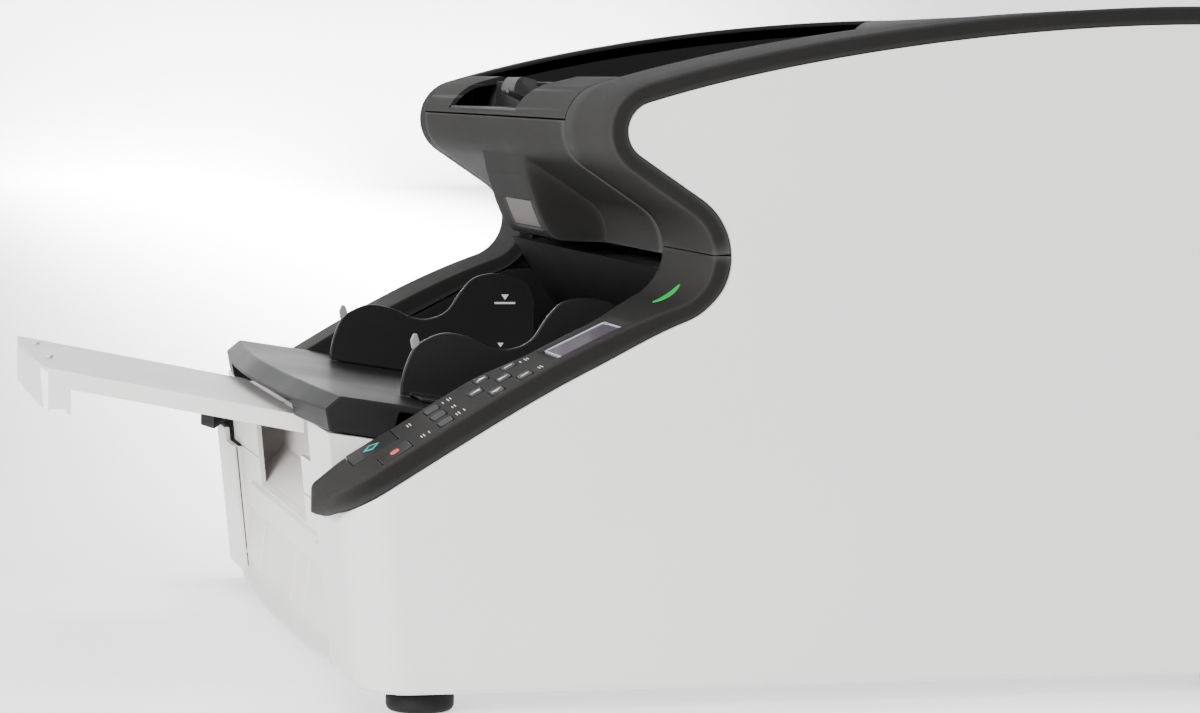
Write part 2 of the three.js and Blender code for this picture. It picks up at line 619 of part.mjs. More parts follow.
// ---------------------------------------------------------------- lower paper path
function lowerGuideSolid() {
  const x0 = PATH_LEFT;
  const x1 = PATH_RIGHT;
  const outerTurn = arcPoints({ y: TURN.y, z: TURN.z, r: TURN.outer }, -90, 86, 12);
  const path = [[-72.5, PATH_Z - 1.6], [-64, PATH_Z], ...outerTurn];
  const plate = prismX(strip(path, 0, 2), x0, x1);
  const rollers = ROLLER_STATIONS.map((y) => block(-80, 25, y - 14, y + 14, 215, 232));
  const glass = block(SCAN.x0 - 1, SCAN.x1 + 1, SCAN.y0 - 1, SCAN.y1 + 1, 215, 232);
  return cut(plate, ...rollers, glass);
}

function mainFrameSolid(x, thickness) {
  const outline = [[-42, 34], [262, 34], [262, 210], [212, 224], [-60, 224], [-60, 208], [-42, 190]];
  const plate = prismX(outline, x, x + thickness);
  const windows = [[20, 90], [110, 180]].map(
    ([y0, y1]) => block(x - 1, x + thickness + 1, y0, y1, 70, 165));
  const bores = ROLLER_STATIONS.map((y) => rodX(x - 1, x + thickness + 1, y, LOWER_SHAFT_Z, 4.12, 24));
  return cut(plate, ...windows, ...bores);
}

// ---------------------------------------------------------------- opening upper unit
function unitSpan(inset = 0) {
  return [UNIT_LEFT + inset, UNIT_RIGHT - inset];
}

const unitThroat = arcPoints(THROAT, -6, SLANT_DEG, 9);
const frontArc = arcPoints(HEAD, SLANT_DEG + 180, 171.2, 5);
const frontRim = [...unitThroat, ...frontArc];
// The sensor housing bulges out of the slanted front between these planes.
const BULGE = { left: -91, right: 22, wall: 2.5 };
const bulgeFace = [
  [-124.6, 286.6], [-122.2, 273.7], [-118.9, 263.5], [-116.4, 255.9], [-112, 246],
  [-107.5, 239.2], [-102, 236.2],
];
const WINDOW = { left: -59, right: 12, z0: 242.6, z1: 259 };

// Body of the head window: follows the face of the bulge between two depths under it.
function windowPrism(grow, outer, inner) {
  const { left, right, z0, z1 } = WINDOW;
  const body = prismX(strip(bulgeFace, -outer, -inner), left - grow, right + grow);
  return body.intersect(block(-400, 400, -160, -90, z0 - grow, z1 + grow));
}

function frontCoverUpperSolid() {
  const [x0, x1] = unitSpan();
  const { left, right, wall } = BULGE;
  const skin = prismX(strip(frontRim, 0, SKIN), x0, x1);
  const housing = prismX([...bulgeFace, [-77, 236.2], [-74, 240], [-84, 262], [-118, 285]], left, right);
  const innerFace = offsetOutline(bulgeFace, -wall).slice(1, -1);
  const cavity = prismX([[-120, 282], ...innerFace, [-101, 238.7], [-70, 238.7], [-70, 262], [-100, 284]],
    left + wall, right - wall);
  const armSpace = block(x0 - 1, -ARM_INNER + GAP, -110, -40, 200, ARM_SPLIT_Z + GAP);
  const rollerSlot = block(-56, 0, -101, -34, 200, 262);
  return cut(join(skin, housing), cavity, armSpace, rollerSlot, windowPrism(GAP, -9, 9));
}

const BASIN = { frontY: -98, frontZ: 300, rearY: 152, rearZ: 320 };
const HOOD_R = 23.8; // the rear of the exit hood is round about the unit's hinge
const crestArc = arcPoints(HEAD, 168.4, HEAD_END_DEG, 5);

function topCoverSolid() {
  const [x0, x1] = unitSpan();
  const crest = [...crestArc, [-101, topHeight(-101)]];
  const outline = [...crest, [-97.6, 328], [-97.6, 300.4], [-100.2, 300.4], [-100.8, 328],
    ...offsetOutline(crestArc, SKIN).reverse()];
  const notch = prismY([[-167, 314], [28, 314], [30, 317], [33, 322], [43, 328], [56, 332],
    [60, 340], [-150, 340],
    [-151, 332], [-157, 326], [-162, 319]], -140, -90);
  const well = prismX([[-129.5, 311.4], [-129.5, 313.8], [-98.4, 313.8], [-98.4, 311.4]], -170, 62);
  return join(cut(prismX(outline, x0, x1), notch), well);
}

function openLeverSolid() {
  const paddle = [[-107.6, 315.6], [-110.4, 318], [-119.6, 322.6], [-120.2, 326.4],
    [-116.6, 331.6], [-107.4, 330.2],
    [-104.6, 318.4]];
  const eye = [[-116, 325.4], [-114.6, 336], [-109.8, 336], [-109.2, 323.8]];
  const body = cut(prismX(paddle, -58, -22), prismX(eye, -54, -26));
  return join(body, rodX(-64, -16, LEVER_PIVOT.y, LEVER_PIVOT.z, 2.2, 12));
}

function ejectTraySolid() {
  const [x0, x1] = unitSpan(1.2);
  const steps = 10;
  const floor = [];
  for (let i = 0; i <= steps; i += 1) {
    const t = i / steps;
    const y = BASIN.frontY + 0.8 + (BASIN.rearY - BASIN.frontY) * t;
    floor.push([y, BASIN.frontZ + (BASIN.rearZ - BASIN.frontZ) * t ** 1.5]);
  }
  const rearArc = arcPoints({ y: UNIT_PIVOT.y, z: UNIT_PIVOT.z, r: HOOD_R }, 98, 28, 8);
  const brow = bezierPoints([154, 331], [152, 350], [158, 370], rearArc[0], 7);
  const hood = prismX(strip([...brow, ...rearArc.slice(1)], 0, 2.4), x0, x1);
  const cheeks = [x0, x1 - 2].map((x) => prismX([[148, 317], [160, 322], [160, 340], [153.4, 340],
    [153.4, 325],
    [146, 321]], x, x + 2));
  return join(prismX(strip(floor, 0, 2.6), x0, x1), hood, ...cheeks);
}

function sidePlateSolid(x) {
  const core = arcPoints({ y: TURN.y, z: TURN.z, r: TURN.inner - 1 }, -90, 80, 8);
  const outline = [[-62, 233], [-60, 262], [-92, 288], [20, 298], [100, 306], [142, 311],
    [162, 316], [164, 342],
    [168, 358], [183, 358], [183, 341], ...core.reverse()];
  const plate = prismX(outline, x, x + 2);
  return cut(plate, rodX(x - 1, x + 3, UNIT_PIVOT.y, UNIT_PIVOT.z, 5.08, 24),
    block(x - 1, x + 3, 20, 110, 262, 296));
}

function turnCoreSolid() {
  const [x0, x1] = unitSpan(6.4);
  const arc = arcPoints({ y: TURN.y, z: TURN.z, r: TURN.inner }, -90, 88, 12);
  return prismX(strip([[40, PATH_Z + 5], ...arc], -0.01, 2), x0, x1);
}

function scanUnitSolid(z0, z1) {
  const { x0, x1, y0, y1 } = SCAN;
  const housing = [[y0, z0], [y1, z0], [y1, z1], [y0, z1]];
  const chamfer = prismX([[y0 - 1, z0 + 8], [y0 - 1, z0 - 1], [y0 + 8, z0 - 1]], x0 - 1, x1 + 1);
  return cut(prismX(housing, x0, x1), chamfer);
}

// ---------------------------------------------------------------- rollers and gears
function rollerSolid(x0, x1, radius, tyres, tyreWidth, shaftRadius) {
  const shaft = rodX(x0, x1, 0, 0, shaftRadius, 14);
  const tyre = (x) => rodX(x - tyreWidth / 2, x + tyreWidth / 2, 0, 0, radius, 24);
  return join(shaft, ...tyres.map(tyre));
}

function pinionSolid(x) {
  const outline = [];
  for (let i = 0; i < PINION.teeth; i += 1) {
    for (const [share, radius] of [[-0.3, -1.4], [-0.13, 1.5], [0.13, 1.5], [0.3, -1.4]]) {
      const a = ((i + share) * 2 * Math.PI) / PINION.teeth;
      outline.push([(PINION.r + radius) * Math.cos(a), (PINION.r + radius) * Math.sin(a)]);
    }
  }
  return prismX(outline, x - 3.4, x + 3.4);
}

function liftShaftSolid() {
  return join(rodX(-188, 216, 0, 0, 4, 14), pinionSolid(-180), pinionSolid(180));
}

// ---------------------------------------------------------------- assembly
function addShell() {
  const cover = sideCoverSolid();
  addPiece('side_cover_right', cover, 'whiteShell');
  addPiece('side_cover_left', mirrorX(cover), 'whiteShell');
  addPiece('front_cover', frontCoverSolid(), 'whiteShell');
  addPiece('front_lower_panel', lowerPanelSolid(), 'whiteShell');
  addPiece('rear_cover', rearCoverSolid(), 'whiteShell');
  addPiece('rear_door', rearDoorSolid(), 'whiteShell');
  addPiece('rear_top_cover', rearTopCoverSolid(), 'blackShell');
  addPiece('power_inlet', powerInletSolid(), 'blackInner');
  addPiece('power_switch', rockerSolid(), 'blackShell');
  addPiece('base_pan', basePanSolid(), 'steel');
  const foot = toGeometry(footSolid());
  for (const [end, y] of [['front', -222], ['rear', 238]]) {
    for (const [side, x] of [['right', 230], ['left', -230]]) {
      const mesh = addPiece(`foot_${end}_${side}`, foot, 'rubber');
      mesh.position.set(x, y, 0);
    }
  }
}

function addRim() {
  addPiece('control_panel_arm', controlArmSolid(), 'blackShell');
  addPiece('side_arm_left', mirrorX(armSolid(false)), 'blackShell');
  addPiece('head_frame_right', headFrameSolid(UNIT_RIGHT + UNIT_GAP), 'blackShell');
  addPiece('head_frame_left', mirrorX(headFrameSolid(-UNIT_LEFT + UNIT_GAP)), 'blackShell');
}

function addControls() {
  for (const button of BUTTONS) {
    const anchor = onArm(button.x, button.y);
    addPiece(button.name, toSolid(buttonCap(button, 0, BUTTON_DEPTH)), 'button', anchor);
    scanner.add(anchor);
  }
  const glass = onArm(LCD.x, LCD.y, 3.4);
  const pane = extrude(roundedRect(LCD.windowWidth - 2 * GAP, LCD.windowLength - 2 * GAP, 2), 1.8);
  addPiece('lcd_window', toSolid(pane), 'lcd', glass);
  scanner.add(glass);
  const lamp = onArm(LAMP.x, LAMP.y, 2.4);
  const lens = extrude(roundedRect(LAMP.width - 2 * GAP, LAMP.length - 2 * GAP, 3), 2.7);
  addPiece('status_lamp', toSolid(lens), 'lamp', lamp);
  scanner.add(lamp);
}

function addFeed() {
  addPiece('feeder_bed', feederBedSolid(), 'blackInner');
  addPiece('feed_platform', platformSolid(), 'blackGloss');
  addPiece('paper_guide_right', guideSolid(), 'blackShell');
  addPiece('paper_guide_left', mirrorX(guideSolid()), 'blackShell');
  addPiece('feed_tray', traySolid(), 'whiteShell');
  const lift = addPiece('lift_shaft', liftShaftSolid(), 'steel');
  lift.position.set(0, PINION.y, PINION.z);
  addPiece('lift_motor', rodX(217, 250, PINION.y, PINION.z, 17), 'motor');
}

function addLowerPath() {
  addPiece('lower_paper_guide', lowerGuideSolid(), 'blackInner');
  addPiece('main_frame_right', mainFrameSolid(FRAME_RIGHT, 2.4), 'steel');
  addPiece('main_frame_left', mainFrameSolid(FRAME_LEFT, 2.4), 'steel');
  addPiece('scan_unit_lower', scanUnitSolid(182, PATH_Z - 1), 'blackInner');
  addPiece('power_supply', block(-225, -130, 40, 240, 35, 95), 'steel');
  addPiece('main_board', block(-110, 120, 60, 220, 40, 42), 'board');
  addPiece('main_motor', rodX(176, 222, 30, 150, 27), 'motor');
}

function addUpperUnit() {
  addPiece('upper_front_cover', frontCoverUpperSolid(), 'blackShell');
  addPiece('upper_top_cover', topCoverSolid(), 'blackShell');
  addPiece('head_window', windowPrism(0, -0.3, -1.8), 'window');
  addPiece('open_lever', openLeverSolid(), 'blackShell');
  addPiece('eject_tray', ejectTraySolid(), 'blackInner');
  addPiece('unit_side_plate_right', sidePlateSolid(UNIT_RIGHT - 6), 'steel');
  addPiece('unit_side_plate_left', sidePlateSolid(UNIT_LEFT + 4), 'steel');
  addPiece('turn_core', turnCoreSolid(), 'blackInner');
  addPiece('scan_unit_upper', scanUnitSolid(PATH_Z + 4, PATH_Z + 36), 'blackInner');
  const hingeShaft = rodX(UNIT_LEFT - 6, UNIT_RIGHT + 6, UNIT_PIVOT.y, UNIT_PIVOT.z, 5, 24);
  addPiece('unit_hinge_shaft', hingeShaft, 'steel');
}

function addRollers() {
  const rollers = [
    ['pickup_roller', -60, 5, 14, [-28], 44, 4, -88, 249.5],
    ['feed_roller', -84, 150, 13, [-28], 46, 4, -50, 241.6],
    ['separation_roller', -239, 186, 13, [-28], 46, 4, ROLLER_STATIONS[0], LOWER_SHAFT_Z],
    ['transport_roller', -239, 186, 11, [-60, 6], 24, 4, ROLLER_STATIONS[1], LOWER_SHAFT_Z],
    ['exit_roller', -239, 186, 11, [-60, 6], 24, 4, ROLLER_STATIONS[2], LOWER_SHAFT_Z],
  ];
  for (const [name, x0, x1, radius, tyres, width, shaft, y, z] of rollers) {
    const mesh = addPiece(name, rollerSolid(x0, x1, radius, tyres, width, shaft), 'rubber');
    mesh.position.set(0, y, z);
  }
}

addShell();
addRim();
addControls();
addFeed();
addLowerPath();
addUpperUnit();
addRollers();

const extent = new THREE.Box3().setFromObject(scanner);
scanner.position.y = -(extent.min.y + extent.max.y) / 2;

export default scanner;
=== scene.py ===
import math

import bmesh
import bpy
from mathutils import Matrix, Vector


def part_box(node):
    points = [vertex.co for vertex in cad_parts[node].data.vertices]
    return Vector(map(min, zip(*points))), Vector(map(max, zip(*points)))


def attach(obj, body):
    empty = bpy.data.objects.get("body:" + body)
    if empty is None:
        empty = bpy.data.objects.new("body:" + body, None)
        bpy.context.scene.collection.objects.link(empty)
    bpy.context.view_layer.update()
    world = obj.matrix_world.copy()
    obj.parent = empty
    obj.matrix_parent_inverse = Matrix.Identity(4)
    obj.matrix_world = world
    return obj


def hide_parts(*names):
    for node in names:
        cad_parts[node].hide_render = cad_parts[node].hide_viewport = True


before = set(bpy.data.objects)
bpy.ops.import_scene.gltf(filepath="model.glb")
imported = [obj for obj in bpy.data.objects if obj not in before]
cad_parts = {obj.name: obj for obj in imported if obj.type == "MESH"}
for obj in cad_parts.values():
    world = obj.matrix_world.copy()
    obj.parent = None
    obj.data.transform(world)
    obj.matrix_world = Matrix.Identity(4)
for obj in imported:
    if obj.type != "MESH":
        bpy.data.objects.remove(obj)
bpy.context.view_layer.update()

# Lengths below are millimetres in the machine's own frame (Y = -280 at the tip of the control arm).
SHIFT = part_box("rear_cover")[1].y * 1000 - 283

ARM_INNER, RIM_HALF, HALF_WIDTH = 199.0, 262.5, 264.0
UNIT_LEFT, UNIT_RIGHT, UNIT_GAP = -242.5, 157.0, 1.2
COVER_WRAP, COVER_WALL, FLOOR, RIM_BAND = 165.0, 3.0, 13.0, 9.5
LIP_Y, REAR_Y, SPLIT_Z = -280.0, 283.0, 240.0
LIP_BOTTOM, UNDER_START, SEAM = 104.4, -267.0, 0.2
THROAT, HEAD = (-102.04, 238.8, 26.5), (-106.76, 304.15, 25.3)
PIVOT = (175.0, 350.0)
SLOPE, NOSE_Y, NOSE_Z, BOW = -0.154, -259.7, 161.8, 12
GUIDE_X, GUIDE_WALL = 118, 3.6
PINION_Y, PINION_Z, PINION_R, PINION_TEETH = -72.5, 96, 10.5, 14
KEY_PROUD = 0.5


# ------------------------------------------------------------------ curves
def arc(circle, a0, a1, n):
    y, z, r = circle
    angles = [math.radians(a0 + (a1 - a0) * i / n) for i in range(n + 1)]
    return [(y + r * math.cos(a), z + r * math.sin(a)) for a in angles]


def bezier(p0, p1, p2, p3, n):
    out = []
    for i in range(n + 1):
        t = i / n
        k = ((1 - t) ** 3, 3 * t * (1 - t) ** 2, 3 * t * t * (1 - t), t ** 3)
        out.append(tuple(sum(w * p[c] for w, p in zip(k, (p0, p1, p2, p3))) for c in (0, 1)))
    return out


def spline(points, per):
    """Catmull-Rom curve through the points, with per steps between two of them."""
    pts = [points[0]] + list(points) + [points[-1]]
    out = []
    for i in range(1, len(pts) - 2):
        a, b, c, d = pts[i - 1:i + 3]
        for k in range(per):
            t = k / per
            out.append(tuple(0.5 * (2 * b[j] + (c[j] - a[j]) * t
                                    + (2 * a[j] - 5 * b[j] + 4 * c[j] - d[j]) * t * t
                                    + (3 * b[j] - a[j] - 3 * c[j] + d[j]) * t ** 3) for j in (0, 1)))
    return out + [tuple(points[-1])]


def offset(points, distance):
    """Shifts a curve; positive distances go to the right of its direction of travel.

    The distance is a number or a function of (y, z).
    """
    out = []
    for i, (a, b) in enumerate(points):
        a0, b0 = points[max(i - 1, 0)]
        a1, b1 = points[min(i + 1, len(points) - 1)]
        length = math.hypot(a1 - a0, b1 - b0)
        d = distance(a, b) if callable(distance) else distance
        out.append((a + d * (b1 - b0) / length, b - d * (a1 - a0) / length))
    return out


def strip(points, outer, inner):
    return offset(points, outer) + offset(points, inner)[::-1]


def smooth(x, a, b):
    t = min(max((x - a) / (b - a), 0), 1)
    return t * t * (3 - 2 * t)


def rounded(width, height, radius, steps=5):
    out = []
    for sx, sy, start in ((1, -1, -90), (1, 1, 0), (-1, 1, 90), (-1, -1, 180)):
        for i in range(steps + 1):
            a = math.radians(start + 90 * i / steps)
            out.append((sx * (width / 2 - radius) + radius * math.cos(a),
                        sy * (height / 2 - radius) + radius * math.sin(a)))
    return out


def band(extra=0.0):
    """Depth of the dark rim, a little more along the arm than round the head."""
    def depth(y, z):
        arm_part = 3 * (1 - smooth(y, -145, -88)) - 0.9 * (1 - smooth(y, -84, -75.6))
        return RIM_BAND + extra + (0 if z > SPLIT_Z else arm_part)
    return depth


# The slanted front touches both circles; SLANT is its touching angle on the throat circle, in degrees.
run, climb = HEAD[0] - THROAT[0], HEAD[1] - THROAT[1]
SLANT = math.degrees(math.atan2(climb, run) - math.acos((HEAD[2] + THROAT[2]) / math.hypot(run, climb)))
throat = arc(THROAT, -70, SLANT, 44)
head = arc(HEAD, SLANT + 180, 107.5, 40)
slant = [tuple(throat[-1][j] + (head[0][j] - throat[-1][j]) * i / 8 for j in (0, 1)) for i in range(1, 8)]
ramp = bezier((LIP_Y, 112.5), (-219, 147.4), (-163, 188.9), throat[0], 70)
top = bezier(head[-1], (-22.2, 357.4), (112.6, 375), (210, 375), 56)
rear = bezier((210, 375), (250, 375), (REAR_Y, 350), (REAR_Y, 305), 24)
down = [(REAR_Y, 305 - 65 * i / 6) for i in range(1, 7)]
RIM = ramp + throat[1:] + slant + head + top[1:] + rear[1:] + down
SPLIT = next(i for i, p in enumerate(RIM) if p[1] > SPLIT_Z)


class Path:
    """A curve in the (y, z) plane with positions and upper normals by length."""

    def __init__(self, points):
        self.p = points
        self.s = [0.0]
        for (a, b), (c, d) in zip(points, points[1:]):
            self.s.append(self.s[-1] + math.hypot(c - a, d - b))
        self.length = self.s[-1]

    def at(self, s):
        i = 1
        while i < len(self.s) - 1 and self.s[i] < s:
            i += 1
        t = (s - self.s[i - 1]) / (self.s[i] - self.s[i - 1])
        return tuple(self.p[i - 1][j] + t * (self.p[i][j] - self.p[i - 1][j]) for j in (0, 1))

    def normal(self, s):
        a, b = self.at(max(s - 1.2, 0)), self.at(min(s + 1.2, self.length))
        length = math.hypot(b[0] - a[0], b[1] - a[1])
        return -(b[1] - a[1]) / length, (b[0] - a[0]) / length

    def s_at_y(self, y):
        for i in range(1, len(self.p)):
            if self.p[i][0] >= y:
                t = (y - self.p[i - 1][0]) / (self.p[i][0] - self.p[i - 1][0])
                return self.s[i - 1] + t * (self.s[i] - self.s[i - 1])
        return self.length


def throat_point(z):
    return THROAT[0] + math.sqrt(THROAT[2] ** 2 - (z - THROAT[1]) ** 2), z


ARM_PATH = Path(RIM[:SPLIT] + [throat_point(SPLIT_Z - SEAM)])
HEAD_PATH = Path([throat_point(SPLIT_Z + SEAM)] + RIM[SPLIT + 1:])


def crown(x, y):
    rise = smooth(y, -283, -256) * (1 - smooth(y, -196, -156))
    return 4 * rise * (RIM_HALF - abs(x)) / (RIM_HALF - ARM_INNER)


# ------------------------------------------------------------------ finishes
def finish(name, color, rough, metal=0.0, grain=900.0, bump=0.06, vary=0.05, wear=0.12, glow=None, speck=0.0,
           shine=0.5, side=0.0):
    """Moulded, drawn or painted finish: fine grain in the bump, cloudy tone and roughness, paler worn edges.

    speck adds pale specks, shine is the specular level, and side is painted shade: it darkens the faces that
    turn towards ±x.
    """
    mat = bpy.data.materials.new(name)
    mat.use_nodes = True
    nodes, links = mat.node_tree.nodes, mat.node_tree.links
    shader = nodes["Principled BSDF"]
    shader.inputs["Base Color"].default_value = (*color, 1)
    shader.inputs["Roughness"].default_value = rough
    shader.inputs["Metallic"].default_value = metal
    shader.inputs["Specular IOR Level"].default_value = shine
    if glow:
        shader.inputs["Emission Color"].default_value = (*glow[0], 1)
        shader.inputs["Emission Strength"].default_value = glow[1]
    where = nodes.new("ShaderNodeTexCoord")

    def noise(scale, detail):
        node = nodes.new("ShaderNodeTexNoise")
        node.inputs["Scale"].default_value = scale
        node.inputs["Detail"].default_value = detail
        links.new(where.outputs["Object"], node.inputs["Vector"])
        return node.outputs["Fac"]

    def ranged(source, low, high, a=0.3, b=0.7):
        node = nodes.new("ShaderNodeMapRange")
        node.inputs["From Min"].default_value = a
        node.inputs["From Max"].default_value = b
        node.inputs["To Min"].default_value = low
        node.inputs["To Max"].default_value = high
        links.new(source, node.inputs["Value"])
        return node.outputs["Result"]

    def mixed(fac, a, b):
        node = nodes.new("ShaderNodeMix")
        node.data_type = "RGBA"
        for value, socket in ((a, "A"), (b, "B")):
            target = [i for i in node.inputs if i.name == socket and i.type == "RGBA"][0]
            if isinstance(value, tuple):
                target.default_value = (*value, 1)
            else:
                links.new(value, target)
        links.new(fac, node.inputs["Factor"])
        return [o for o in node.outputs if o.type == "RGBA"][0]

    cloud, fine = noise(9, 4), noise(grain, 3)
    dark = tuple(c * (1 - vary) for c in color)
    light = tuple(min(c * (1 + vary), 1) for c in color)
    tone = mixed(ranged(cloud, 0, 1), dark, light)
    if speck:
        tone = mixed(ranged(noise(grain * 0.6, 2), 0, speck, 0.56, 0.66),
                     tone, tuple(min(c * 1.6 + 0.02, 1) for c in color))
    geometry = nodes.new("ShaderNodeNewGeometry")
    # painted shade: faces whose normal turns towards ±x are mixed towards a tone at 0.3 of the colour, shade
    # painted on the side bands
    if side:
        split = nodes.new("ShaderNodeSeparateXYZ")
        links.new(geometry.outputs["Normal"], split.inputs["Vector"])
        side_shade = nodes.new("ShaderNodeMath")
        side_shade.operation = "ABSOLUTE"
        links.new(split.outputs["X"], side_shade.inputs[0])
        tone = mixed(ranged(side_shade.outputs["Value"], 0, side, 0.55, 0.97),
                     tone, tuple(c * 0.3 for c in color))
    edges = geometry.outputs["Pointiness"]
    worn = tuple(min(c + 0.10 * (1 - c), 1) for c in color)
    tone = mixed(ranged(edges, 0, wear, 0.52, 0.6), tone, worn)
    links.new(tone, shader.inputs["Base Color"])
    links.new(ranged(cloud, max(rough - 0.05, 0.03), min(rough + 0.05, 1)), shader.inputs["Roughness"])
    relief = nodes.new("ShaderNodeBump")
    relief.inputs["Strength"].default_value = bump
    relief.inputs["Distance"].default_value = 0.0004
    links.new(fine, relief.inputs["Height"])
    links.new(relief.outputs["Normal"], shader.inputs["Normal"])
    return mat


WHITE = finish("white_shell", (0.685, 0.665, 0.645), 0.42, grain=2600, bump=0.05, vary=0.012, wear=0.3)
TRAY_WHITE = finish("tray_white", (0.72, 0.70, 0.68), 0.40, grain=2400, bump=0.05, vary=0.015, wear=0.2)
# the dark shell gets painted shade (side=0.75) on faces turned towards ±x, the side bands of the rim
DARK = finish("dark_shell", (0.031, 0.030, 0.029), 0.55, grain=2200, bump=0.2, vary=0.05, wear=0.3,
              speck=0.18, shine=0.005, side=0.75)
GLOSS = finish("dark_gloss", (0.009, 0.009, 0.0095), 0.38, grain=2000,
               bump=0.03, vary=0.06, wear=0.2, shine=0.05)
INNER = finish("inner_black", (0.007, 0.0069, 0.0069), 0.45,
               grain=1800, bump=0.12, vary=0.08, wear=0.1, shine=0.12)
GUIDE = finish("guide_black", (0.011, 0.0108, 0.011), 0.36, grain=2400,
               bump=0.15, vary=0.06, wear=0.06, speck=0.1, shine=0.15)
KEY = finish("button_grey", (0.021, 0.0205, 0.020), 0.45, grain=2600,
             bump=0.08, vary=0.05, wear=0.15, shine=0.06)
TAB = finish("tab_grey", (0.20, 0.20, 0.20), 0.35, grain=2200, bump=0.05, vary=0.05, wear=0.2)
MARK = finish("pale_marks", (0.62, 0.62, 0.62), 0.5, grain=2600, bump=0.04, vary=0.03, wear=0.0)
TEAL = finish("teal_mark", (0.03, 0.40, 0.38), 0.4, grain=2600, bump=0.04, vary=0.03, wear=0.0)
RED = finish("red_mark", (0.62, 0.09, 0.07), 0.4, grain=2600, bump=0.04, vary=0.03, wear=0.0)
LAMP = finish("lamp_green", (0.004, 0.34, 0.06), 0.35, grain=1500, bump=0.02, vary=0.05, wear=0.0,
              glow=((0.0, 0.55, 0.06), 0.35), shine=0.1)
PANE = finish("lcd_glass", (0.105, 0.085, 0.112), 0.16, grain=900, bump=0.004, vary=0.25, wear=0.1, shine=0.2)
BEZEL = finish("lcd_bezel", (0.46, 0.44, 0.52), 0.25, grain=1500, bump=0.02, vary=0.05, wear=0.4)
WINDOW = finish("window_taupe", (0.14, 0.13, 0.125), 0.5, grain=1200,
                bump=0.02, vary=0.05, wear=0.1, shine=0.02)
STEEL = finish("sheet_steel", (0.55, 0.56, 0.57), 0.34, metal=1.0, grain=500, bump=0.05, vary=0.05, wear=0.1)
SHAFT = finish("shaft_steel", (0.60, 0.61, 0.62), 0.24, metal=1.0, grain=700, bump=0.04, vary=0.05, wear=0.1)
MOTOR = finish("motor_metal", (0.20, 0.205, 0.215), 0.38, metal=0.8,
               grain=600, bump=0.06, vary=0.06, wear=0.3)
BOARD = finish("circuit_board", (0.02, 0.11, 0.05), 0.35, grain=300, bump=0.1, vary=0.25, wear=0.2)
RUBBER = finish("rubber_black", (0.006, 0.006, 0.006), 0.62,
                grain=1400, bump=0.3, vary=0.1, wear=0.2, shine=0.15)
GROUND = finish("ground", (0.90, 0.90, 0.90), 0.6, grain=60,
                bump=0.004, vary=0.004, wear=0.0, glow=((1, 1, 1), 0.95), shine=0.2)


# ------------------------------------------------------------------ mesh tools
def raw(name, verts, faces):
    mesh = bpy.data.meshes.new(name)
    mesh.from_pydata([(x / 1000, (y + SHIFT) / 1000, z / 1000) for x, y, z in verts], [], faces)
    mesh.validate()
    obj = bpy.data.objects.new(name, mesh)
    bpy.context.scene.collection.objects.link(obj)
    return obj


def outward(obj):
    bm = bmesh.new()
    bm.from_mesh(obj.data)
    bmesh.ops.recalc_face_normals(bm, faces=bm.faces)
    bm.to_mesh(obj.data)
    bm.free()


def prism(name, outline, axis, a0, a1):
    """Outline is (y, z) along x, (x, z) along y, or (x, y) along z."""
    place = {"x": lambda u, v, w: (w, u, v),
             "y": lambda u, v, w: (u, w, v),
             "z": lambda u, v, w: (u, v, w)}[axis]
    n = len(outline)
    verts = [place(u, v, a0) for u, v in outline] + [place(u, v, a1) for u, v in outline]
    faces = [[i, (i + 1) % n, n + (i + 1) % n, n + i] for i in range(n)]
    faces += [list(range(n)), list(range(2 * n - 1, n - 1, -1))]
    obj = raw(name, verts, faces)
    outward(obj)
    return obj


def block(name, x0, x1, y0, y1, z0, z1):
    return prism(name, [(x0, y0), (x1, y0), (x1, y1), (x0, y1)], "z", z0, z1)


def rod(name, axis, a0, a1, u, v, radius, sides=40):
    ring = [(u + radius * math.cos(2 * math.pi * i / sides), v + radius * math.sin(2 * math.pi * i / sides))
            for i in range(sides)]
    return prism(name, ring, axis, a0, a1)


def loft(name, rings, closed=False, caps=True):
    """Joins rings of the same count; each ring is a closed loop of (x, y, z)."""
    n = len(rings[0])
    verts = [p for ring in rings for p in ring]
    faces = []
    for r in range(len(rings) if closed else len(rings) - 1):
        q = (r + 1) % len(rings)
        faces += [[r * n + i, r * n + (i + 1) % n, q * n + (i + 1) % n, q * n + i] for i in range(n)]
    if caps and not closed:
        faces += [list(range(n)), [len(verts) - 1 - i for i in range(n)]]
    obj = raw(name, verts, faces)
    outward(obj)
    return obj


def carve(obj, cutters, operation="DIFFERENCE"):
    for cutter in cutters:
        mod = obj.modifiers.new("cut", "BOOLEAN")
        mod.operation, mod.object, mod.solver = operation, cutter, "EXACT"
        bpy.context.view_layer.update()
        mesh = bpy.data.meshes.new_from_object(obj.evaluated_get(bpy.context.evaluated_depsgraph_get()))
        obj.modifiers.clear()
        obj.data = mesh
        bpy.data.objects.remove(cutter)
    obj.data.name = obj.name
    return obj


def thicken(obj, wall):
    """Gives a sheet a wall behind its outer face."""
    obj.modifiers.new("wall", "SOLIDIFY").thickness = wall / 1000


def mirrored(obj, name):
    twin = bpy.data.objects.new(name, obj.data.copy())
    bpy.context.scene.collection.objects.link(twin)
    twin.data.transform(Matrix.Diagonal((-1, 1, 1, 1)))
    twin.data.flip_normals()
    return twin


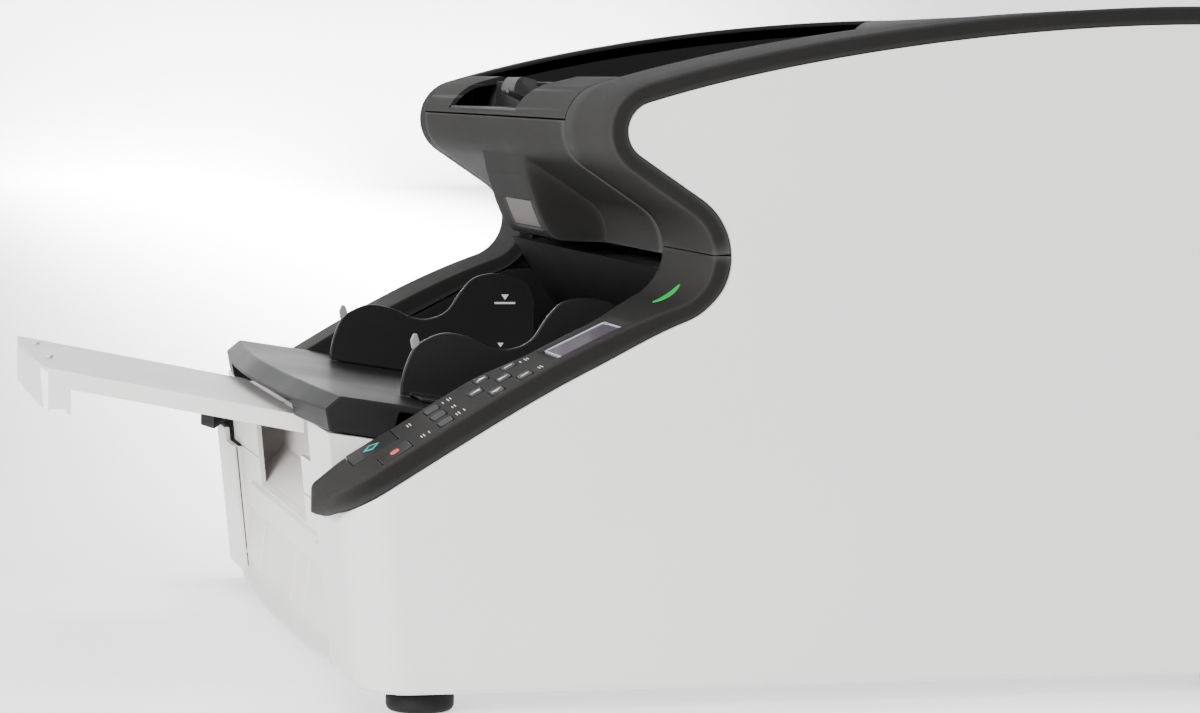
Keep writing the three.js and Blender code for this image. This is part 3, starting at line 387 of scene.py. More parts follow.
def piece(obj, mat, body, nodes=(), bevel=0.0, segments=3, limit=35, crease=40):
    """Finishes a mesh: smooth shading with crisp edges, an optional bevel, its material and its body."""
    obj.data.materials.clear()
    obj.data.materials.append(mat)
    obj.data.polygons.foreach_set("use_smooth", [True] * len(obj.data.polygons))
    if bevel:
        mod = obj.modifiers.new("edges", "BEVEL")
        mod.width, mod.segments, mod.limit_method = bevel / 1000, segments, "ANGLE"
        mod.angle_limit = math.radians(limit)
        mod.harden_normals = True
        mod.miter_outer = "MITER_ARC"
    obj.data.set_sharp_from_angle(angle=math.radians(crease))
    if obj.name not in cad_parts:
        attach(obj, body)
    if nodes:
        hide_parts(*nodes)
    return obj


def slab(name, path, left, right, depth, edge=2.5, inner=1.0, ends=0.25, corner=0.0, rows=80, columns=10,
         lift=None, sweep=None, bottom=None):
    """A solid panel wrapped over a path between left(s) and right(s) in x, with rounded upper edges.

    corner is the plan radius at the start of the right edge; sweep(x, s) moves points along the path; with a
    bottom height given, the start of the panel stands upright and ends level there.
    """
    turn = 18 if corner else 0
    length = path.length

    def grid(outer, side, end):
        lines = []
        for j in range(turn):
            a = math.radians(90 * j / turn)
            s = corner - (corner - outer) * math.cos(a)
            lines.append((s, left(s) + side, right(s) - corner + (corner - outer) * math.sin(a)))
        start = corner if corner else end
        for j in range(rows + 1):
            s = start + (length - end - start) * j / rows
            lines.append((s, left(s) + side, right(s) - outer))
        return [[(a + (b - a) * c / columns, s) for c in range(columns + 1)] for s, a, b in lines]

    def spot(x, s, level):
        y, z = path.at(s)
        h = level[0] + level[1] * depth(y, z)
        s += sweep(x, s) if sweep else 0
        y, z = path.at(s)
        ny, nz = path.normal(s)
        if bottom:
            w = 1 - smooth(s, 2, 34)
            ny, nz = ny * (1 - w), nz * (1 - w) + w
        k = 1 / math.hypot(ny, nz)
        z += nz * h * k + (lift(x, y) if lift else 0)
        return x, y + ny * h * k, max(z, bottom) if bottom else z

    def border(lines):
        loop = [lines[0][c] for c in range(columns)]
        loop += [lines[j][columns] for j in range(len(lines) - 1)]
        loop += [lines[-1][c] for c in range(columns, 0, -1)]
        return loop + [lines[j][0] for j in range(len(lines) - 1, 0, -1)]

    verts, faces = [], []

    def sheet(lines, h):
        start, n = len(verts), columns + 1
        verts.extend(spot(x, s, h) for line in lines for x, s in line)
        index = [[start + j * n + c for c in range(n)] for j in range(len(lines))]
        for j in range(len(lines) - 1):
            faces.extend([a, a + 1, a + n + 1, a + n] for a in index[j][:-1])
        return border(index)

    last = sheet(grid(edge, inner, ends), (0, 0))
    levels = []
    for k in range(1, 7):
        a = math.radians(15 * k)
        levels.append((1 - math.sin(a), (-edge * (1 - math.cos(a)), 0)))
    for level in levels + [(0.0, (-edge / 2, -0.5)), (0.0, (0.6, -1)), None]:
        if level:
            loop = border(grid(edge * level[0], inner * level[0], ends * level[0]))
            ring = list(range(len(verts), len(verts) + len(loop)))
            verts.extend(spot(x, s, level[1]) for x, s in loop)
        else:
            ring = sheet(grid(0.6, 0.6, 0.1), (0, -1))
        faces.extend([last[i], last[(i + 1) % len(ring)], ring[(i + 1) % len(ring)], ring[i]]
                     for i in range(len(ring)))
        last = ring
    obj = raw(name, verts, faces)
    outward(obj)
    return obj


# ------------------------------------------------------------------ white covers
def cover_front(z):
    return -272.5 + (141.9 - z) * 0.108


def side_cover():
    edge = [p for p in offset(RIM, band(0.3)) if p[0] > UNDER_START or p[1] > SPLIT_Z]
    flat_top = [(-270.8, LIP_BOTTOM - 0.6)] + edge[:-1] + [(REAR_Y - RIM_BAND - 0.4, 239.4), (REAR_Y, 239.4)]

    def height(y):
        if y <= flat_top[0][0]:
            return flat_top[0][1]
        for (a, b), (c, d) in zip(flat_top, flat_top[1:]):
            if a <= y <= c:
                return b + (d - b) * (y - a) / (c - a)
        return 239.4

    plan = [(COVER_WRAP, 0.0), (ARM_INNER - 0.6, 0.0), (ARM_INNER - 0.4, 0.0)]
    plan += [(HALF_WIDTH - 28 + 28 * math.sin(math.radians(a)), 28 - 28 * math.cos(math.radians(a)))
             for a in range(0, 91, 5)]
    low, high = [], []
    for x, v in plan:
        z = 97.0
        for _ in range(30 if x > ARM_INNER - 0.5 else 0):
            z = 0.5 * z + 0.5 * height(v + cover_front(z))
        low.append((x, v + cover_front(FLOOR + 2.5), FLOOR + 2.5))
        high.append((x, v + cover_front(z), z))
    start = high[-1]
    rest = [(HALF_WIDTH, y, z) for y, z in flat_top if y > start[1] + 0.6 or z > SPLIT_Z - 1]
    verts = low + high
    n = len(low)
    faces = [[i, i + 1, n + i + 1, n + i] for i in range(n - 1)]
    first = len(verts)
    verts += rest + [(HALF_WIDTH, REAR_Y, FLOOR + 2.5)]
    faces.append([n - 1] + list(range(len(verts) - 1, first - 1, -1)) + [2 * n - 1])
    # a rounded foot line turns under the cover
    hem = [(x - 2.5 * (x > 200) * min(1, (x - 200) / 60), min(y + 2.5 * (x < 262), REAR_Y), FLOOR)
           for x, y, _ in low]
    base = len(verts)
    verts += hem + [(HALF_WIDTH - 2.5, REAR_Y, FLOOR)]
    for i in range(n - 1):
        faces.append([base + i, base + i + 1, i + 1, i])
    faces.append([base + n - 1, base + n, first + len(rest), n - 1])
    obj = raw("cover_side_right", verts, faces)
    outward(obj)
    if sum(f.normal.x * f.area for f in obj.data.polygons) < 0:
        obj.data.flip_normals()
    thicken(obj, COVER_WALL)
    return obj


right_cover = side_cover()
left_cover = mirrored(right_cover, "cover_side_left")
thicken(left_cover, COVER_WALL)
piece(right_cover, WHITE, "base", ["side_cover_right"], bevel=0.7, limit=50)
piece(left_cover, WHITE, "base", ["side_cover_left"], bevel=0.7, limit=50)
for tag, x0, x1 in (("right", COVER_WRAP, COVER_WRAP + 2), ("left", -COVER_WRAP - 2, -COVER_WRAP)):
    fold = [(cover_front(14) + 1.5, 14), (-241, 14), (-241, 96.8), (cover_front(96.8) + 1.5, 96.8)]
    piece(prism("cover_return_" + tag, fold, "x", x0, x1), WHITE, "base", bevel=0.4)


def face_plane(z):
    return -266.5 + (143 - z) * 0.1


def front_cover():
    low, high, shoulder, peak, back = COVER_WRAP - 0.4, ARM_INNER - 1, 97.6, 142.4, -216
    fall = SLOPE * (back - face_plane(peak))
    lower = prism("cover_front", [(face_plane(60), 60), (back, 60),
                                  (back, shoulder + 2), (face_plane(shoulder + 2), shoulder + 2)],
                  "x", -low, low)
    upper = prism("upper", [(face_plane(shoulder), shoulder),
                            (back, shoulder), (back, peak + fall), (face_plane(peak), peak)],
                  "x", -high, high)
    carve(lower, [upper], "UNION")
    hollow = prism("hollow", [(face_plane(58) + 3, 58), (back - 3, 58),
                              (back - 3, 128), (face_plane(130) + 3, 130)],
                   "x", -low + 3, low - 3)
    carve(lower, [hollow])
    wide = prism("wide", [(x, z) for x, z in ((-124, 119), (124, 119), (124, 160), (-124, 160))],
                 "y", -300, -241)
    mid = prism("mid", [(-300, 78), (-262, 79.5), (-258, 83),
                        (-243.5, 98), (-241, 103), (-241, 160), (-300, 160)], "x", -88, 88)
    shelf = prism("pocket_wall", [(-262, 74), (-238.5, 98), (-238.5, 138),
                                  (-241, 138), (-241, 101), (-262, 78)], "x", -127, 127)
    carve(lower, [wide, mid])
    carve(lower, [shelf], "UNION")
    return lower


piece(front_cover(), WHITE, "base", ["front_cover"], bevel=1.1, segments=3, limit=30)


def lower_panel():
    half = COVER_WRAP - 0.4
    profile = [(-253, 59.4), (-255.2, 59.4), (-256.8, 46), (-258.6, 30),
               (-260.5, 24.5), (-263.5, 19.5), (-266, 17),
               (-266.3, 14.6), (-265, 13.2), (-249, 13.2), (-249, 28)]
    rings = []
    for i in range(33):
        x = -half + 2 * half * i / 32
        k = 1 - (x / half) ** 2
        rings.append([(x, y + (5.5 * (1 - k) if y < -259 else 0) - 0.8 * k * (z > 30) * (y < -254), z)
                      for y, z in profile])
    return loft("panel_lower_front", rings)


piece(lower_panel(), WHITE, "base", ["front_lower_panel"], bevel=0.5, limit=40)
for i, x in enumerate((-96, 29, 76)):
    rib = prism(f"panel_rib_{i}", [(-254.6, 57), (-257.2, 57), (-260.6, 30), (-259, 26), (-255.5, 26)],
                "x", x, x + 2)
    piece(rib, TRAY_WHITE, "base", bevel=0.3)


# ------------------------------------------------------------------ dark rim
def arm_left_edge(meets_unit):
    def edge(s):
        y, z = ARM_PATH.at(s)
        if not meets_unit or y < -128:
            return ARM_INNER
        return ARM_INNER - (ARM_INNER - UNIT_RIGHT - UNIT_GAP) * smooth(y, -128, -74.5) ** 0.8
    return edge


def tip_sweep(x, s):
    """The tip of the arm is swept back towards its inner corner."""
    return 5 * min(max((RIM_HALF - 36 - x) / 27.5, 0), 1) * (1 - smooth(s, 0, 60))


def arm(name, meets_unit):
    return slab(name, ARM_PATH, arm_left_edge(meets_unit), lambda s: RIM_HALF,
                band(), edge=2.6, inner=0.7, ends=0.2,
                corner=36, rows=96, columns=12, lift=crown, sweep=tip_sweep, bottom=LIP_BOTTOM)


# name, place, width and length of each key
BUTTONS = [
    ("start_button", 213, -246, 27, 27),
    ("stop_button", 248.5, -240, 18, 18),
    ("function_button_1", 212, -214, 12.5, 8),
    ("function_button_2", 231, -214, 12.5, 8),
    ("function_button_3", 250, -214, 11, 8),
    ("menu_button", 210.5, -187.4, 12, 7.5),
    ("up_button", 230, -194.2, 12, 7.5),
    ("down_button", 231.5, -179.8, 12, 7.5),
    ("back_button", 250.5, -187.4, 12, 7.5),
    ("left_button", 210.5, -172.6, 12, 7.5),
    ("enter_button", 250.5, -172.6, 12, 7.5),
]


def on_arm(x, y):
    """Matrix that lays a shape drawn flat at the origin on the control arm, in millimetres."""
    s = ARM_PATH.s_at_y(y)
    _, z = ARM_PATH.at(s)
    ny, nz = ARM_PATH.normal(s)
    tilt = math.atan2(-ny, nz)
    yaw = math.atan2(crown(x, y) - crown(x + 1, y), 1)
    place = Matrix.Translation((x, y, z + crown(x, y)))
    return place @ Matrix.Rotation(yaw, 4, "Y") @ Matrix.Rotation(tilt, 4, "X")


def on_panel(name, outline, z0, z1, matrix, z_mid=None, shrink=0.0):
    rings = [[(u, v, z0) for u, v in outline], [(u, v, z1) for u, v in outline]]
    if shrink:
        cx = sum(u for u, _ in outline) / len(outline)
        cy = sum(v for _, v in outline) / len(outline)
        small = [(cx + (u - cx) * (1 - shrink), cy + (v - cy) * (1 - shrink)) for u, v in outline]
        rings[0] = [(u, v, z0) for u, v in small]
    rings = [[tuple(matrix @ Vector(p)) for p in ring] for ring in rings]
    return loft(name, rings)


# place of the display, then width and length of its well and of its pane
LCD = (228, -137, 50, 48, 42, 36)
LAMP_X, LAMP_HALF = 217.6, 4.4

right_arm = arm("arm_right", True)
cutters = [on_panel("hole", rounded(w + 1.1, l + 1.1, 1.6, 3), -5.8, 6, on_arm(x, y))
           for _, x, y, w, l in BUTTONS]
lcd_at = on_arm(LCD[0], LCD[1])
well_rings = [(LCD[4] + 0.8, LCD[5] + 0.8, 1.6, -3.4), (LCD[4] + 1.6, LCD[5] + 2.4, 1.8, -1.9),
              (LCD[2], LCD[3], 2.6, 0.4),
              (LCD[2] + 2, LCD[3] + 2, 3, 4)]
lcd_well = loft("hole", [[tuple(lcd_at @ Vector((u, v, h))) for u, v in rounded(w, l, r, 4)]
                         for w, l, r, h in well_rings])
carve(right_arm, cutters + [lcd_well])
piece(right_arm, DARK, "base", ["control_panel_arm"], crease=32)
left_arm = mirrored(arm("arm_left_source", False), "arm_left")
bpy.data.objects.remove(bpy.data.objects["arm_left_source"])
piece(left_arm, DARK, "base", ["side_arm_left"], crease=32)


def head_frame(name, left):
    return slab(name, HEAD_PATH, lambda s: left, lambda s: RIM_HALF,
                band(), edge=2.6, inner=0.7, ends=0.2, rows=170,
                columns=4)


right_head = head_frame("head_frame_near", UNIT_RIGHT + UNIT_GAP)
piece(right_head, DARK, "base", ["head_frame_right"], crease=32)
left_head = mirrored(head_frame("head_source", -UNIT_LEFT + UNIT_GAP), "head_frame_far")
bpy.data.objects.remove(bpy.data.objects["head_source"])
piece(left_head, DARK, "base", ["head_frame_left"], crease=32)
for side, x0, x1 in (("near", UNIT_RIGHT + UNIT_GAP, UNIT_RIGHT + UNIT_GAP + 2.6),
                     ("far", UNIT_LEFT - UNIT_GAP - 2.6, UNIT_LEFT - UNIT_GAP)):
    basin = [p for p in RIM if p[1] > 290 and p[0] > -131]
    wall = prism(f"basin_wall_{side}", offset(basin, 1.2) + [(REAR_Y - 1.5, 262), (150, 262), (-90, 290)],
                 "x", x0, x1)
    piece(wall, INNER, "base", bevel=0.5)

# ------------------------------------------------------------------ controls
for name, x, y, w, l in BUTTONS:
    place = on_arm(x, y)
    cap = on_panel("key_" + name, rounded(w, l, 1.8, 4), -4.2, KEY_PROUD, place)
    piece(cap, KEY, name, [name], bevel=0.4, segments=3, limit=40)


KEY_AT = {name: (x, y) for name, x, y, _, _ in BUTTONS}


def decal(name, outline, mat, body, x, y, high, thick):
    flat = on_panel(name, outline, high - thick, high + thick, on_arm(x, y))
    piece(flat, mat, body)


def key_mark(name, outline, mat, key, above=0.06):
    decal("mark_" + name, outline, mat, key, *KEY_AT[key], KEY_PROUD + above, 0.09)


key_mark("start", [(-6, 0), (0, -5), (6, 0), (0, 5)], TEAL, "start_button")
key_mark("start_core", [(-3.6, 0), (0, -3), (3.6, 0), (0, 3)], KEY, "start_button", above=0.14)
key_mark("stop", rounded(7.5, 5, 2.4), RED, "stop_button")
key_mark("up", [(0, -3), (1.6, 2.6), (-1.6, 2.6)], MARK, "up_button")
key_mark("down", [(0, 3), (-1.6, -2.6), (1.6, -2.6)], MARK, "down_button")
key_mark("menu", [(-2.2, 0), (1.2, -2.8), (1.2, 2.8)], MARK, "menu_button")
key_mark("back", [(2.2, 0), (-1.2, 2.8), (-1.2, -2.8)], MARK, "back_button")
key_mark("left", rounded(1.2, 4.6, 0.4), MARK, "left_button")
key_mark("enter", rounded(1.2, 4.6, 0.4), MARK, "enter_button")
# short strokes beside the keys
for i, (x, y, w) in enumerate(((214, -227, 6), (250, -225, 6),
                               (212, -206.5, 6), (231, -206.5, 4.5), (249, -206.5, 7),
                               (212, -165, 7), (251, -165, 7))):
    for k in range(4):
        if (i + k) % 3:
            decal(f"legend_{i}_{k}", rounded(w * (0.75 + (0.15 * k) % 0.4), 0.5, 0.2),
                  MARK, "base", x, y + 1.3 * k - 1.5,
                  high=0.12, thick=0.06)

pane = on_panel("lcd_pane", rounded(LCD[4] - 1.6, LCD[5] - 1.6, 1.4, 3), -3.3, -1.9, lcd_at)
piece(pane, PANE, "base", ["lcd_window"], bevel=0.25)
bezel = on_panel("lcd_bezel", rounded(LCD[4] + 0.4, LCD[5] + 0.4, 1.8, 3), -3.2, -1.5, lcd_at)
carve(bezel, [on_panel("hole", rounded(LCD[4] - 1.7, LCD[5] - 1.7, 1.3, 3), -7, 1, lcd_at)])
piece(bezel, BEZEL, "base", bevel=0.2)

lamp_line = [p for p in ARM_PATH.p if -97 < p[0] < -80.5 and p[1] < 230]
lamp_path = Path(offset(lamp_line, -0.5))


def leaf(s):
    return LAMP_HALF * math.sin(math.pi * min(max(s / lamp_path.length, 0.02), 0.98)) ** 0.6


lens = slab("lamp_lens", lamp_path, lambda s: LAMP_X - leaf(s),
            lambda s: LAMP_X + leaf(s), lambda y, z: 1.6, edge=0.4,
            inner=0.4, ends=0.4, rows=24, columns=6)
piece(lens, LAMP, "base", ["status_lamp"])


# ------------------------------------------------------------------ opening upper unit
FACE = [(-124.6, 286.6), (-123.6, 281), (-122.2, 273.7), (-119.4, 264.8),
        (-116.4, 255.9), (-112.6, 247), (-109.9, 242.4),
        (-107.0, 239.2), (-104.4, 237.4), (-101.6, 236.3), (-98.5, 236.0)]


def front_unit():
    """The slanted front with the sensor housing growing out of it, as one sculpted sheet."""
    skin = arc(THROAT, -6, SLANT, 40) + slant + arc(HEAD, SLANT + 180, 171, 40)
    path = Path(skin)
    top_z = FACE[0][1]

    def level(z):
        lo, hi = 0.0, 1.0
        for _ in range(30):
            mid = (lo + hi) / 2
            lo, hi = (mid, hi) if path.at(mid * path.length)[1] < z else (lo, mid)
        return lo

    def face_y(y, z):
        if z >= top_z:
            return y
        return next(a + (c - a) * (b - z) / (b - d) for (a, b), (c, d) in zip(FACE, FACE[1:])
                    if d <= z + 0.05)

    marks = [level(z) for z in (240.5, 242.3, 259.3)]
    ts = sorted([i / 96 for i in range(97) if all(abs(i / 96 - m) > 0.004 for m in marks)] + marks)
    xs = [UNIT_LEFT, UNIT_RIGHT, -198.6, -56.0, 0.0, -59.4, 12.4]
    xs += [UNIT_LEFT + 10.2 * i for i in range(1, 15)] + [UNIT_RIGHT - 10.2 * i for i in range(1, 13)]
    xs += [-99 + 0.9 * i for i in range(11)] + [20.5 + 1.0 * i for i in range(13)]
    xs += [-84.0, -76, -68, -48, -38, -28, -18, -8, 7]
    xs = sorted(set(round(x, 2) for x in xs))
    verts, faces = [], []
    for t in ts:
        y, z = path.at(t * path.length)
        for x in xs:
            w = smooth(x, -98.5, -90.5) * (1 - smooth(x, 21, 31.5))
            verts.append((x, y + (face_y(y, z) - y) * w, z))
    n = len(xs)
    for i in range(len(ts) - 1):
        for c in range(n - 1):
            window = xs[c] >= -59.5 and xs[c + 1] <= 12.5 and marks[1] <= ts[i] < marks[2]
            beside_arm = xs[c + 1] <= -198.5 and ts[i] < marks[0]
            if not window and not beside_arm:
                faces.append([i * n + c, i * n + c + 1, (i + 1) * n + c + 1, (i + 1) * n + c])
    floor = [c for c in range(n) if -97 <= xs[c] <= 28]
    start, width, depth = len(verts), len(floor), 8
    for k in range(1, depth + 1):
        for c in floor:
            verts.append((xs[c], verts[c][1] + (-76 - verts[c][1]) * k / depth, 236.03 + 0.5 * k / depth))
    for k in range(depth):
        for j in range(width - 1):
            if xs[floor[j]] >= -56.1 and xs[floor[j + 1]] <= 0.1:
                continue
            a, b = floor[j], floor[j + 1]
            if k > 0:
                a = start + (k - 1) * width + j
                b = a + 1
            faces.append([b, a, start + k * width + j, start + k * width + j + 1])
    obj = raw("unit_front", verts, faces)
    thicken(obj, 2.5)
    return obj


piece(front_unit(), DARK, "upper_unit", ["upper_front_cover"], crease=50)

glass_line = [p for p in spline(FACE, 6) if 242.6 < p[1] < 259.0]
pane = prism("head_pane", strip(glass_line[::-1], 0.5, 2.0), "x", -59, 12)
piece(pane, WINDOW, "upper_unit", ["head_window"], bevel=0.35)


def top_z(y):
    return next(b + (d - b) * (y - a) / (c - a) for (a, b), (c, d) in zip(top, top[1:]) if a <= y <= c)


crest = arc(HEAD, 168.4, 107.5, 30) + [(y, top_z(y)) for y in (-112, -109, -106, -103, -101)]
crest_outline = crest + [(-99.4, top_z(-101) - 0.2), (-98.1, top_z(-101) - 1.2),
                         (-97.6, 328.6), (-97.6, 300.4),
                         (-100.2, 300.4), (-100.8, 327.6)] + offset(arc(HEAD, 168.4, 107.5, 30), 3)[::-1]
unit_top = prism("unit_top", crest_outline, "x", UNIT_LEFT, UNIT_RIGHT)
notch_line = [(-170, 312), (28, 312)]
notch_line += spline([(28, 314), (30, 317), (33, 322), (43, 328), (56, 332), (64, 340)], 5)
notch_line += spline([(-146, 340), (-151, 332), (-157, 326), (-162, 319), (-166, 314)], 5)
carve(unit_top, [prism("notch", notch_line, "y", -140, -90)])
piece(unit_top, DARK, "upper_unit", ["upper_top_cover"], bevel=1.0, limit=40)
well = [(-129.8, 311.2), (-129.8, 313.4), (-98.3, 313.4), (-98.3, 311.2)]
piece(prism("notch_floor", well, "x", -168, 60), INNER, "upper_unit", bevel=0.4)
piece(block("notch_back", -150, 44, -104, -101.5, 313, 329), INNER, "upper_unit", bevel=0.4)

paddle = spline([(-107.6, 315.6), (-110.4, 318), (-119.6, 322.6),
                 (-120.2, 326.4), (-116.6, 331.6), (-107.4, 330.2)], 4)
lever = prism("unit_lever", paddle + [(-104.8, 318.4)], "x", -58, -22)
carve(lever, [prism("eye", [(-116.4, 325), (-114.9, 336), (-109.4, 336), (-108.8, 323)], "x", -54, -26)])
carve(lever, [rod("pin", "x", -64, -16, -106.4, 317, 2.2)], "UNION")
piece(lever, KEY, "open_lever", ["open_lever"], bevel=0.8)
hook = prism("lever_claw", [(-120.6, 322), (-116, 322), (-116, 325), (-121, 325.6)], "x", -44, -36)
piece(hook, GLOSS, "open_lever", bevel=0.5)

basin_floor = [(-98 + 0.8 + 250 * i / 30, 300 + 20 * (i / 30) ** 1.5) for i in range(31)]
stack_floor = prism("eject_floor", strip(basin_floor, 0, 2.6), "x", UNIT_LEFT + 1.2, UNIT_RIGHT - 1.2)
piece(stack_floor, INNER, "upper_unit", ["eject_tray"], bevel=0.6)
brow = bezier((154, 331), (152, 350), (158, 370), arc((*PIVOT, 23.8), 98, 28, 1)[0], 24)
hood_line = strip(brow + arc((*PIVOT, 23.8), 98, 28, 24)[1:], 0, 2.4)
piece(prism("exit_hood", hood_line, "x", UNIT_LEFT + 1.2, UNIT_RIGHT - 1.2), DARK, "upper_unit", bevel=0.6)
for tag, x in (("left", UNIT_LEFT + 1.2), ("right", UNIT_RIGHT - 3.2)):
    cheek = [(148, 317), (160, 322), (160, 340), (153.4, 340), (153.4, 325), (146, 321)]
    piece(prism("hood_cheek_" + tag, cheek, "x", x, x + 2), INNER, "upper_unit", bevel=0.5)

rear_line = [(189, top_z(189)), (200, top_z(200))] + rear[1:-1] + [(REAR_Y, 305), (REAR_Y, 290)]
piece(prism("rear_hood", strip(rear_line, 0.4, 3.4), "x", UNIT_LEFT + 0.2, UNIT_RIGHT - 0.5), DARK, "base",
      ["rear_top_cover"], bevel=0.8)

# ------------------------------------------------------------------ feed side
def nose():
    """Faceted front of the lifting platform, bowed across its width."""
    half, rings = 196.0, []
    under = 143.3
    section = [(NOSE_Y - BOW, NOSE_Z - SLOPE * BOW), (-228, 157.0), (-66, 132.0), (-66, 128.0), (-228, 152.9),
               (-232, 138.2), (NOSE_Y - 6 - BOW, under - SLOPE * BOW), (NOSE_Y - 8.2 - BOW, 155)]
    for i in range(49):
        x = -half + 2 * half * i / 48
        pull = BOW * (x / half) ** 2
        ring = []
        for y, z in section:
            k = 1 if y < -240 else 0
            moved = y + pull * k
            ring.append((x, moved, z + (SLOPE * pull if k and z != 155 else 0)))
        rings.append(ring)
    return loft("platform_nose", rings)


platform = nose()
carve(platform, [block("tray_space", -120.5, 120.5, -300, -262, 130, 153)])
piece(platform, GLOSS, "lift", ["feed_platform"], bevel=1.0, limit=24, segments=3)
pitch = 2 * math.pi * PINION_R / PINION_TEETH
for tag, s in (("right", 1), ("left", -1)):
    root = PINION_Y + PINION_R + 1.8
    rack = [(root + 5, 35), (root + 5, 128), (root, 128)]
    z = PINION_Z + pitch * 6
    while z > 38:
        rack += [(root, z - pitch * 0.3), (root - 2.6, z - pitch * 0.42),
                 (root - 2.6, z - pitch * 0.58), (root, z - pitch * 0.7)]
        z -= pitch
    rack.append((root, 35))
    bar = prism("lift_rack_" + tag, rack, "x", s * 180 - 4, s * 180 + 4)
    tongue = prism("tongue", [(-70, 132.2), (-55.4, 129.6), (-55.4, 124), (-70, 124)],
                   "x", s * 180 - 4, s * 180 + 4)
    carve(bar, [tongue], "UNION")
    piece(bar, GLOSS, "lift", bevel=0.3)


def platform_top(y):
    return NOSE_Z + SLOPE * (y - NOSE_Y)


def guide():
    humps = spline([(-213.4, 162), (-211.5, 170.3), (-207, 180.4),
                    (-199.8, 186), (-188.6, 189.6), (-174.5, 186.9),
                    (-163, 181.6), (-151.6, 180.6), (-140.3, 185.6),
                    (-132, 197.4), (-123.6, 206), (-112.1, 208.9),
                    (-98, 207.4), (-88.5, 202.5), (-84, 193)], 8)
    outline = [(-213.9, platform_top(-213.9) + 0.4)] + humps + [(-84, platform_top(-84) + 0.4)]
    fin = prism("guide_right", outline, "x", GUIDE_X, GUIDE_X + GUIDE_WALL)
    foot = prism("foot", [(-208, platform_top(-208) + 0.4), (-208, platform_top(-208) + 2.6),
                          (-88, platform_top(-88) + 2.6),
                          (-88, platform_top(-88) + 0.4)], "x", GUIDE_X + 1, GUIDE_X + 34)
    return carve(fin, [foot], "UNION")


def tab(x0, x1):
    line = [(-207.6, 180.5), (-208.4, 185.6), (-206.8, 189.2), (-204.6, 189), (-203.2, 185), (-203.6, 180)]
    return prism("guide_tab_right", line, "x", x0, x1)


right_guide, right_tab = guide(), tab(GUIDE_X + 0.3, GUIDE_X + 3.3)
left_guide, left_tab = mirrored(right_guide, "guide_left"), mirrored(right_tab, "guide_tab_left")
piece(right_guide, GUIDE, "guide_right", ["paper_guide_right"], bevel=1.3, segments=4)
piece(left_guide, GUIDE, "guide_left", ["paper_guide_left"], bevel=1.3, segments=4)
piece(right_tab, TAB, "guide_right", bevel=0.8)
piece(left_tab, TAB, "guide_left", bevel=0.8)

# two pointers with bars moulded on the inner face of the far guide
for tag, y, z, size in (("high", -103.5, 193.5, 2.4), ("low", -106, 163.5, 2.0)):
    x = 0.05 - GUIDE_X
    arrow = prism("mark_arrow_" + tag, [(y - size, z + size), (y + size, z + size), (y, z - size * 0.4)],
                  "x", x, x + 0.15)
    piece(arrow, MARK, "guide_left")
    bar = prism("mark_bar_" + tag, [(y - 6.6, z - 2.4), (y + 6.6, z - 2.4),
                                    (y + 6.6, z - 3.6), (y - 6.6, z - 3.6)], "x",
                x, x + 0.15)
    piece(bar, MARK, "guide_left")


def tray():
    rear_y, rear_z, tip_y, tip_z, wall, leg, half = -267, 143.8, -410.4, 171.5, 9.5, 24, 118

    def at(t, depth=0.0):
        return rear_y + (tip_y - rear_y) * t, rear_z + (tip_z - rear_z) * t - depth

    outline = [at(0), at(0.25), at(0.5), at(0.75), at(0.96), at(0.985, 0.4), at(1.0, 1.6)]
    outline += [at(0.999, 9), at(0.994, 17), at(0.985, leg),
                at(0.97, leg), at(0.963, leg - 2), at(0.905, leg - 3.4),
                at(0.90, leg - 1), at(0.886, leg - 1), at(0.886, wall), at(0, wall)]
    shell = prism("tray", outline, "x", -half, half)
    hollow = prism("hollow", [at(0.04, 2.5), at(0.984, 2.5), at(0.974, 40), at(0.04, 40)],
                   "x", -half + 2.5, half - 2.5)
    bow = [(-half + 2 * half * i / 40, tip_y + 4.5 * (2 * i / 40 - 1) ** 2) for i in range(41)]
    plan = prism("plan", bow + [(half, -260), (-half, -260)], "z", 100, 250)
    carve(shell, [hollow])
    carve(shell, [plan], "INTERSECT")
    groove = []
    for x in (-62, -20, 34, 70):
        a, b = at(0.12, 0.35), at(0.93, 0.35)
        groove.append(prism("groove", [a, b, (b[0], b[1] + 3), (a[0], a[1] + 3)], "x", x, x + 0.9))
    carve(shell, groove)
    pin = rod("pin", "x", -half + 1, half - 1, -284.5, 141.6, 4)
    carve(shell, [pin], "UNION")
    return shell


piece(tray(), TRAY_WHITE, "tray", ["feed_tray"], bevel=0.9, segments=3)
for tag, x in (("a", -62), ("b", 34)):
    boss = [(-402 + 3, x - 2.6), (-402 + 5.4, x), (-402 + 3, x + 3.4), (-402 + 0.6, x)]
    bump = prism("tray_mark_" + tag, [(v, u) for u, v in boss], "z", 169.6, 171.0)
    piece(bump, TRAY_WHITE, "tray", bevel=0.3)

# ------------------------------------------------------------------ back, feet and fittings
def rear_panel():
    half = HALF_WIDTH - 3.4
    plate = block("back_panel", -half, half, REAR_Y - 3, REAR_Y, 19, 236)
    cuts = [prism("slot", [(x + 2 + 51 * t + 2 * math.cos(a), z + 3 + 2.9 * math.sin(a)) for t, angles in
                           ((1, range(-90, 91, 30)), (0, range(90, 271, 30)))
                           for a in map(math.radians, angles)],
                  "y", REAR_Y - 5, REAR_Y + 2) for x in (-205, -135) for z in range(60, 131, 14)]
    cuts += [block("inlet", 174, 204, 278, 285, 44, 66), block("switch", 219, 237, 278, 285, 44, 60),
             block("data", 120, 134, 278, 285, 46, 58)]
    return carve(plate, cuts)


